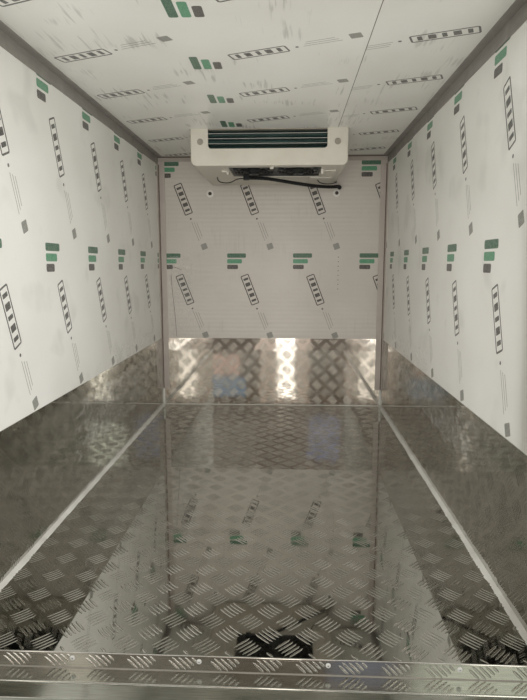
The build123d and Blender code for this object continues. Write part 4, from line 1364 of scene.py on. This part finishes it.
seal = rounded_block(
    (unit_low.x - 2 * MM, unit_low.y + 3 * MM, ceiling_z - 4 * MM),
    (unit_high.x + 2 * MM, unit_high.y, ceiling_z), 1.0, 1,
)
piece("unit_seal", seal, cover_finish, "box")

clip_x = unit_x + 9 * MM
lip_clip = gather([
    rounded_block((clip_x - 8 * MM, unit_low.y + 20 * MM, unit_low.z - 3 * MM),
                  (clip_x + 8 * MM, plate_low.y + 14 * MM, unit_low.z), 1.0),
    rounded_block((clip_x - 5 * MM, unit_low.y + 22 * MM, unit_low.z - 8 * MM),
                  (clip_x + 5 * MM, unit_low.y + 27 * MM, unit_low.z - 1 * MM), 1.0),
])
piece("lip_clip", lip_clip, abs_finish, "box")

MOTOR_FOOT_OFFSET = 0.062
MOTOR_FOOT_MM = 9
MOTOR_FOOT_REACH_MM = (82, 64)
motors = []
for side in ("left", "right"):
    hub = middle(f"evaporator_fan_{side}")
    motors.append(moved(turned(MOTOR, 32), facing((0, 0, -1), (hub.x, hub.y, plate_low.z - 1 * MM))))
    for offset in (-MOTOR_FOOT_OFFSET, MOTOR_FOOT_OFFSET):
        x, foot = hub.x + offset, MOTOR_FOOT_MM * MM
        low = (x - foot, hub.y - MOTOR_FOOT_REACH_MM[0] * MM, plate_low.z - foot)
        high = (x + foot, hub.y - MOTOR_FOOT_REACH_MM[1] * MM, plate_low.z)
        motors.append(rounded_block(low, high, 2.0))
piece("fan_motors", gather(motors), polyamide_finish, "box")

BRACKETS = [
    # from and to across from the unit's middle, from and to back from the intake's front edge, drop, all mm
    (-176, -152, 60, 110, 7),
    (-158, -150, 60, 80, 16),
    (184, 240, 60, 200, 6),
    (150, 236, 205, 250, 9),
    (184, 194, 40, 70, 18),
]
brackets = []
for x0, x1, y0, y1, drop in BRACKETS:
    low = (unit_x + x0 * MM, plate_low.y + y0 * MM, unit_low.z - drop * MM)
    high = (unit_x + x1 * MM, plate_low.y + y1 * MM, unit_low.z)
    brackets.append(rounded_block(low, high, 1.5))
piece("intake_brackets", gather(brackets), abs_finish, "box")
print("made the unit's details")

# %% [markdown]
# Fasteners are turned from short profiles too, a pan head and a domed rivet, and copied to their places
# in one go. They are spaced as on a real body: a rivet about every 120 mm along a rail.

# %% Fasteners
PAN_HEAD = [(1.0, 0.0), (1.0, 0.22), (0.86, 0.48), (0.55, 0.62), (0.32, 0.62), (0.28, 0.36), (0.05, 0.36)]
DOME = [(1.0, 0.0), (0.98, 0.14), (0.8, 0.36), (0.5, 0.5), (0.12, 0.55)]


def fasteners(name, profile, radius_mm, places):
    """Zinc-plated heads at places with directions. The profile is given in shares of the radius."""
    head = turned([(r * radius_mm, z * radius_mm) for r, z in profile], 16)
    parts = [moved(head, facing(direction, place)) for place, direction in places]
    piece(name, gather(parts), zinc_finish, "box")
    print(name, len(places))


def along(start, end, pitch_mm):
    """Evenly spaced places from start to end, about pitch_mm apart."""
    start, end = Vector(start), Vector(end)
    count = max(1, round((end - start).length / MM / pitch_mm))
    return [start.lerp(end, i / count) for i in range(count + 1)]


rail_low, rail_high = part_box("base_rail")
roof_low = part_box("roof_rail")[0]
base_line = rail_low.z + 0.0225
roof_line = roof_low.z + 0.024
corner_line = 0.024
upright_foot = 0.2
upright_head = roof_low.z - 0.05
RIVETS_APART = 120
rail_rivets = []


def rivet_run(start, end, direction):
    """Adds a row of rivets to the rails."""
    rail_rivets.extend([(place, direction) for place in along(start, end, RIVETS_APART)])


for sign in (-1, 1):
    side_x = sign * rail_high.x
    corner_x = sign * (rail_high.x - corner_line)
    side_y = rail_high.y - corner_line
    for z in (base_line, roof_line):
        rivet_run((side_x, fold_y + 0.04, z), (side_x, rail_high.y - 0.06, z), (sign, 0, 0))
    rivet_run((side_x, side_y, upright_foot), (side_x, side_y, upright_head), (sign, 0, 0))
    rivet_run((corner_x, rail_high.y, upright_foot), (corner_x, rail_high.y, upright_head), (0, 1, 0))
for z in (base_line, roof_line):
    rivet_run((-rail_high.x + 0.06, rail_high.y, z), (rail_high.x - 0.06, rail_high.y, z), (0, 1, 0))
fasteners("rail_rivets", DOME, 3.6, rail_rivets)

# %% [markdown]
# The through bolts of the cooling unit end inside in a dark cap on a round white washer. Outside,
# pan-head screws close the condenser's case.

# %% Bolts
WASHER_DISC = [(16.0, 0.0), (16.0, 1.6), (14.6, 2.6), (9.6, 3.0)]
CAP = [(7.6, 2.4), (7.6, 6.0), (6.6, 8.6), (4.0, 9.8), (0.6, 10.0)]
bolt_low, bolt_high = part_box("bulkhead_bolts")
bolt_z = (bolt_low.z + bolt_high.z) / 2
washer_radius = WASHER_DISC[0][0] * MM
bolt_spots = [(x, bulkhead_y, bolt_z) for x in (bolt_low.x + washer_radius, bolt_high.x - washer_radius)]
discs = gather([moved(turned(WASHER_DISC, 32), facing((0, -1, 0), spot)) for spot in bolt_spots])
caps = gather([moved(turned(CAP, 20), facing((0, -1, 0), spot)) for spot in bolt_spots])
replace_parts(piece("bolt_washers", discs, nylon_finish, "box"), "bulkhead_bolts")
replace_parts(piece("bolt_caps", caps, cap_finish, "box"), "bulkhead_bolts")

CASE_SCREWS_APART = 230
CASE_MARGIN = 0.03
case_low, case_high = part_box("condenser_case")
screw_y = case_low.y + 0.014
case_screws = []
for spot in along((case_low.x + CASE_MARGIN, 0, 0), (case_high.x - CASE_MARGIN, 0, 0), CASE_SCREWS_APART):
    for z, direction in ((case_high.z, (0, 0, 1)), (case_low.z, (0, 0, -1))):
        case_screws.append(((spot.x, screw_y, z), direction))
fasteners("case_screws", PAN_HEAD, 5.0, case_screws)

# %% [markdown]
# Warm air leaves the condenser's case through pressed louvres at its two ends. A louvre is a slot 7 mm
# high under a small hood, which is drawn as a rounded strip that stands 4 mm proud. The slot isn't cut:
# a black strip 0.4 mm thick lies on the case in its place, painted shade for the dark opening.

# %% Louvred vents of the condenser's case
VENT_COUNT = 9
VENT_PITCH = 24.0
VENT_FOOT = 66
VENT_HEIGHT = 7 * MM
VENT_DEPTH = 0.4 * MM
HOOD_DEPTH = 4 * MM
HOOD_HEIGHT = 10 * MM
HOOD_BEYOND = 3 * MM
vent_rear = case_low.y + 50 * MM
vent_front = case_high.y - 34 * MM
vents, hoods = [], []
for x, out in ((case_low.x, -1), (case_high.x, 1)):
    vent_xs = sorted((x, x + out * VENT_DEPTH))
    hood_xs = sorted((x, x + out * HOOD_DEPTH))
    for k in range(VENT_COUNT):
        z = case_low.z + (VENT_FOOT + VENT_PITCH * k) * MM
        top = z + VENT_HEIGHT
        # Painted shade: a thin black strip stands for each slot's shaded opening.
        vents.append(rounded_block((vent_xs[0], vent_rear, z), (vent_xs[1], vent_front, top), 0.1, 1))
        hoods.append(rounded_block((hood_xs[0], vent_rear - HOOD_BEYOND, top),
                                   (hood_xs[1], vent_front + HOOD_BEYOND, z + HOOD_HEIGHT), 1.2))
piece("condenser_vent_shade_strips", gather(vents), polyamide_finish, "box")
piece("condenser_hoods", gather(hoods), abs_finish, "box")
print("vents:", len(vents))

# %% [markdown]
# Where the outer skins run in behind the rails, a thin bead of sealant closes the joint against rain. It
# is the same bead as inside, only finer. The rear posts are riveted to the walls, four rivets to each.

# %% Seals and rivets outside
outer_seals = []
corner_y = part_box("front_corner_rails")[0].y
front_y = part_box("front_panel")[1].y
OUTER_SEAL = (2.0, 3.0, 0.5)
for sign in (-1, 1):
    x = sign * outer_x
    for z, rise in ((rail_high.z, UP), (roof_low.z, (0, 0, -1))):
        side_ends = ((x, fold_y + 0.01, z), (x, corner_y, z))
        outer_seals.append(bead(*side_ends, (sign, 0, 0), rise, *OUTER_SEAL, 20 + sign))
        front_ends = ((-0.5, front_y, z), (0.5, front_y, z))
        outer_seals.append(bead(*front_ends, (0, 1, 0), rise, *OUTER_SEAL, 24 + sign))
piece("outer_seals", gather(outer_seals), sealant_finish, "box")

post_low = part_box("left_rear_post")[0]
post_x = -post_low.x - 0.016
POST_RIVET_HEIGHTS = (0.24, 0.52, 0.93, 1.21)
post_rivets = []
for sign in (-1, 1):
    for z in POST_RIVET_HEIGHTS:
        post_rivets.append(((sign * post_x, post_low.y, z), (0, -1, 0)))
fasteners("post_rivets", DOME, 4.5, post_rivets)

# %% [markdown]
# The studio is a large pale floor that runs out of sight, and an even white world. What the camera sees
# of the world, directly or in a mirror, is set apart from what lights the object: it sees a warm grey.

# %% Floor and world
BACKDROP_HEX = "#d8d6ce"


def studio_floor():
    """A pale matt floor 80 m across, just under the runners."""
    half = 40.0
    corners = [(-half, -half, 0), (half, -half, 0), (half, half, 0), (-half, half, 0)]
    mesh = bpy.data.meshes.new("studio_floor")
    mesh.from_pydata(corners, [], [(0, 1, 2, 3)])
    material, tree, shader, place = new_finish("studio floor", roughness=0.9)
    cloudy_patches = speckle(tree, place, 400, detail=4.0)
    colour = blend_colours(tree, ramp(tree, cloudy_patches, 0, 1), "#d7d7d3", "#d9d9d5")
    tree.links.new(colour, shader.inputs["Base Color"])
    mesh.materials.append(material)
    thing = bpy.data.objects.new("studio_floor", mesh)
    bpy.context.scene.collection.objects.link(thing)


studio_floor()
world = bpy.data.worlds.new("studio")
bpy.context.scene.world = world
world.use_nodes = True
sky = world.node_tree
sky.nodes.clear()
light_path = add_node(sky, "LightPath").outputs
seen = light_path["Is Camera Ray"]
for ray in ("Is Glossy Ray", "Is Transmission Ray"):
    seen = add_node(sky, "Math", {0: seen, 1: light_path[ray]}, operation="MAXIMUM").outputs[0]
lighting = add_node(sky, "Background", {"Color": linear("#fffdf8"), "Strength": 1.0})
backdrop = add_node(sky, "Background", {"Color": linear(BACKDROP_HEX), "Strength": 1.0})
both = add_node(sky, "MixShader", {0: seen, 1: lighting.outputs[0], 2: backdrop.outputs[0]})
add_node(sky, "OutputWorld", {"Surface": both.outputs[0]})
print("the floor and the world are ready")

# %% [markdown]
# In the photograph the daylight in the doorway is stronger than the rest, and it falls in a little from
# the right. A soft lamp as large as the doorway stands for it, so the walls fade towards the bulkhead as
# they do there, and nothing outside is lit too strongly.
#
# Bright plate is a mirror, and what it shows lies behind the camera: the far side of a yard with bright
# openings. Plain cards and flat lamps stand for that. Only mirrors see them, and they light nothing.

# %% Cards and lamps
def card(name, across, reach, y, pale, dark):
    """A card that only mirrors see: upright at y, or flat on the ground if y is None."""
    left, right = across
    low, high = reach
    outline = [(left, low), (right, low), (right, high), (left, high)]
    if y is None:
        corners, face = [(x, r, 0.01) for x, r in outline], (0, 1, 2, 3)
    else:
        corners, face = [(x, y, r) for x, r in outline], (3, 2, 1, 0)
    mesh = bpy.data.meshes.new(name)
    mesh.from_pydata(corners, [], [face])
    material, tree, shader, place = new_finish(name, roughness=0.9)
    shade = speckle(tree, place, 160, detail=4.0)
    colour = blend_colours(tree, ramp(tree, shade, 0, 1), pale, dark)
    tree.links.new(colour, shader.inputs["Base Color"])
    mesh.materials.append(material)
    thing = bpy.data.objects.new(name.replace(" ", "_"), mesh)
    thing.visible_camera = thing.visible_diffuse = thing.visible_shadow = thing.visible_transmission = False
    bpy.context.scene.collection.objects.link(thing)


def soft_lamp(name, place, aim, size, power, mirrored=True, lights=True, colour="#ffffff", spread_deg=180):
    """A rectangular lamp turned towards aim. It can be kept out of the mirrors, or be seen in them alone."""
    data = bpy.data.lights.new(name, "AREA")
    data.shape = "RECTANGLE"
    data.size, data.size_y = size
    data.energy = power
    data.spread = math.radians(spread_deg)
    data.color = linear(colour)[:3]
    lamp = bpy.data.objects.new(name, data)
    lamp.location = place
    lamp.rotation_euler = (Vector(aim) - Vector(place)).to_track_quat("-Z", "Y").to_euler()
    lamp.visible_glossy = mirrored
    lamp.visible_diffuse = lights
    lamp.visible_camera = False
    bpy.context.scene.collection.objects.link(lamp)


door_y = fold_y + 0.09
door_z = (floor_z + ceiling_z) / 2
soft_lamp("doorway daylight", (0, door_y, door_z), (-0.14, door_y + 1.0, door_z - 0.08),
          (0.96, 1.06), 5.6, mirrored=False, spread_deg=140)
CARD_Y = fold_y - 1.9
LAMP_LAYER = 0.01
GROUND_AHEAD = 0.5
GROUND_LENGTH = 1.0
GROUND_SHARE = 0.8
SOFTBOXES = [
    # name, from and to across, from and to up, radiance, colour
    ("bright strip", -0.05, 0.15, 0.0, 1.0, 4.0, "#fff6ee"),
    ("glow round the strip", -0.24, 0.30, 0.0, 1.05, 0.7, "#ffe9da"),
    ("left window", -1.22, -1.05, 0.0, 1.05, 2.4, "#fffaf2"),
    ("left window above", -1.15, -0.95, 1.05, 1.9, 0.9, "#fffaf2"),
    ("right window", 0.92, 1.16, 0.0, 1.05, 4.0, "#fffaf2"),
    ("high panel at the right", 0.76, 1.8, 1.3, 2.0, 1.25, "#f6fff4"),
    ("high panel at the left", -1.8, -0.3, 1.3, 2.0, 0.09, "#f6fff4"),
    ("pink panel", -0.78, -0.45, 0.52, 0.74, 1.0, "#f0c8bb"),
    ("blue panel", -0.80, -0.40, 0.76, 0.98, 0.7, "#78b4e0"),
    ("pale blue panel", 0.30, 0.65, 1.2, 1.7, 0.5, "#8ea6d8"),
    ("sky above the yard", -1.8, 1.8, 2.1, 3.2, 1.5, "#fffdf8"),
]
for name, x0, x1, z0, z1, radiance, colour in SOFTBOXES:
    x, z = (x0 + x1) / 2, (z0 + z1) / 2
    size = (x1 - x0, z1 - z0)
    power = math.pi * (x1 - x0) * (z1 - z0) * radiance
    place = (x, CARD_Y - radiance * LAMP_LAYER, z)
    soft_lamp(name, place, (x, 0, z), size, power, lights=False, colour=colour)
    if z0 == 0.0:
        size = (x1 - x0, GROUND_LENGTH)
        power = math.pi * (x1 - x0) * GROUND_LENGTH * radiance * GROUND_SHARE
        place = (x, CARD_Y + GROUND_AHEAD, 0.02)
        above = (x, CARD_Y + GROUND_AHEAD, 1.0)
        soft_lamp(name + " on the ground", place, above, size, power, lights=False, colour=colour)
card("far wall", (-3.0, 3.0), (0.0, 1.12), CARD_Y - 0.15, "#a08674", "#66544a")
card("far wall above", (-3.0, 3.0), (1.12, 2.05), CARD_Y - 0.15, "#c0b2aa", "#8a7c76")
card("yard", (-3.0, 3.0), (CARD_Y - 0.15, fold_y - 0.95), None, "#8b7d72", "#665b52")

view = bpy.context.scene.view_settings
view.view_transform = "Standard"
print("studio is lit")
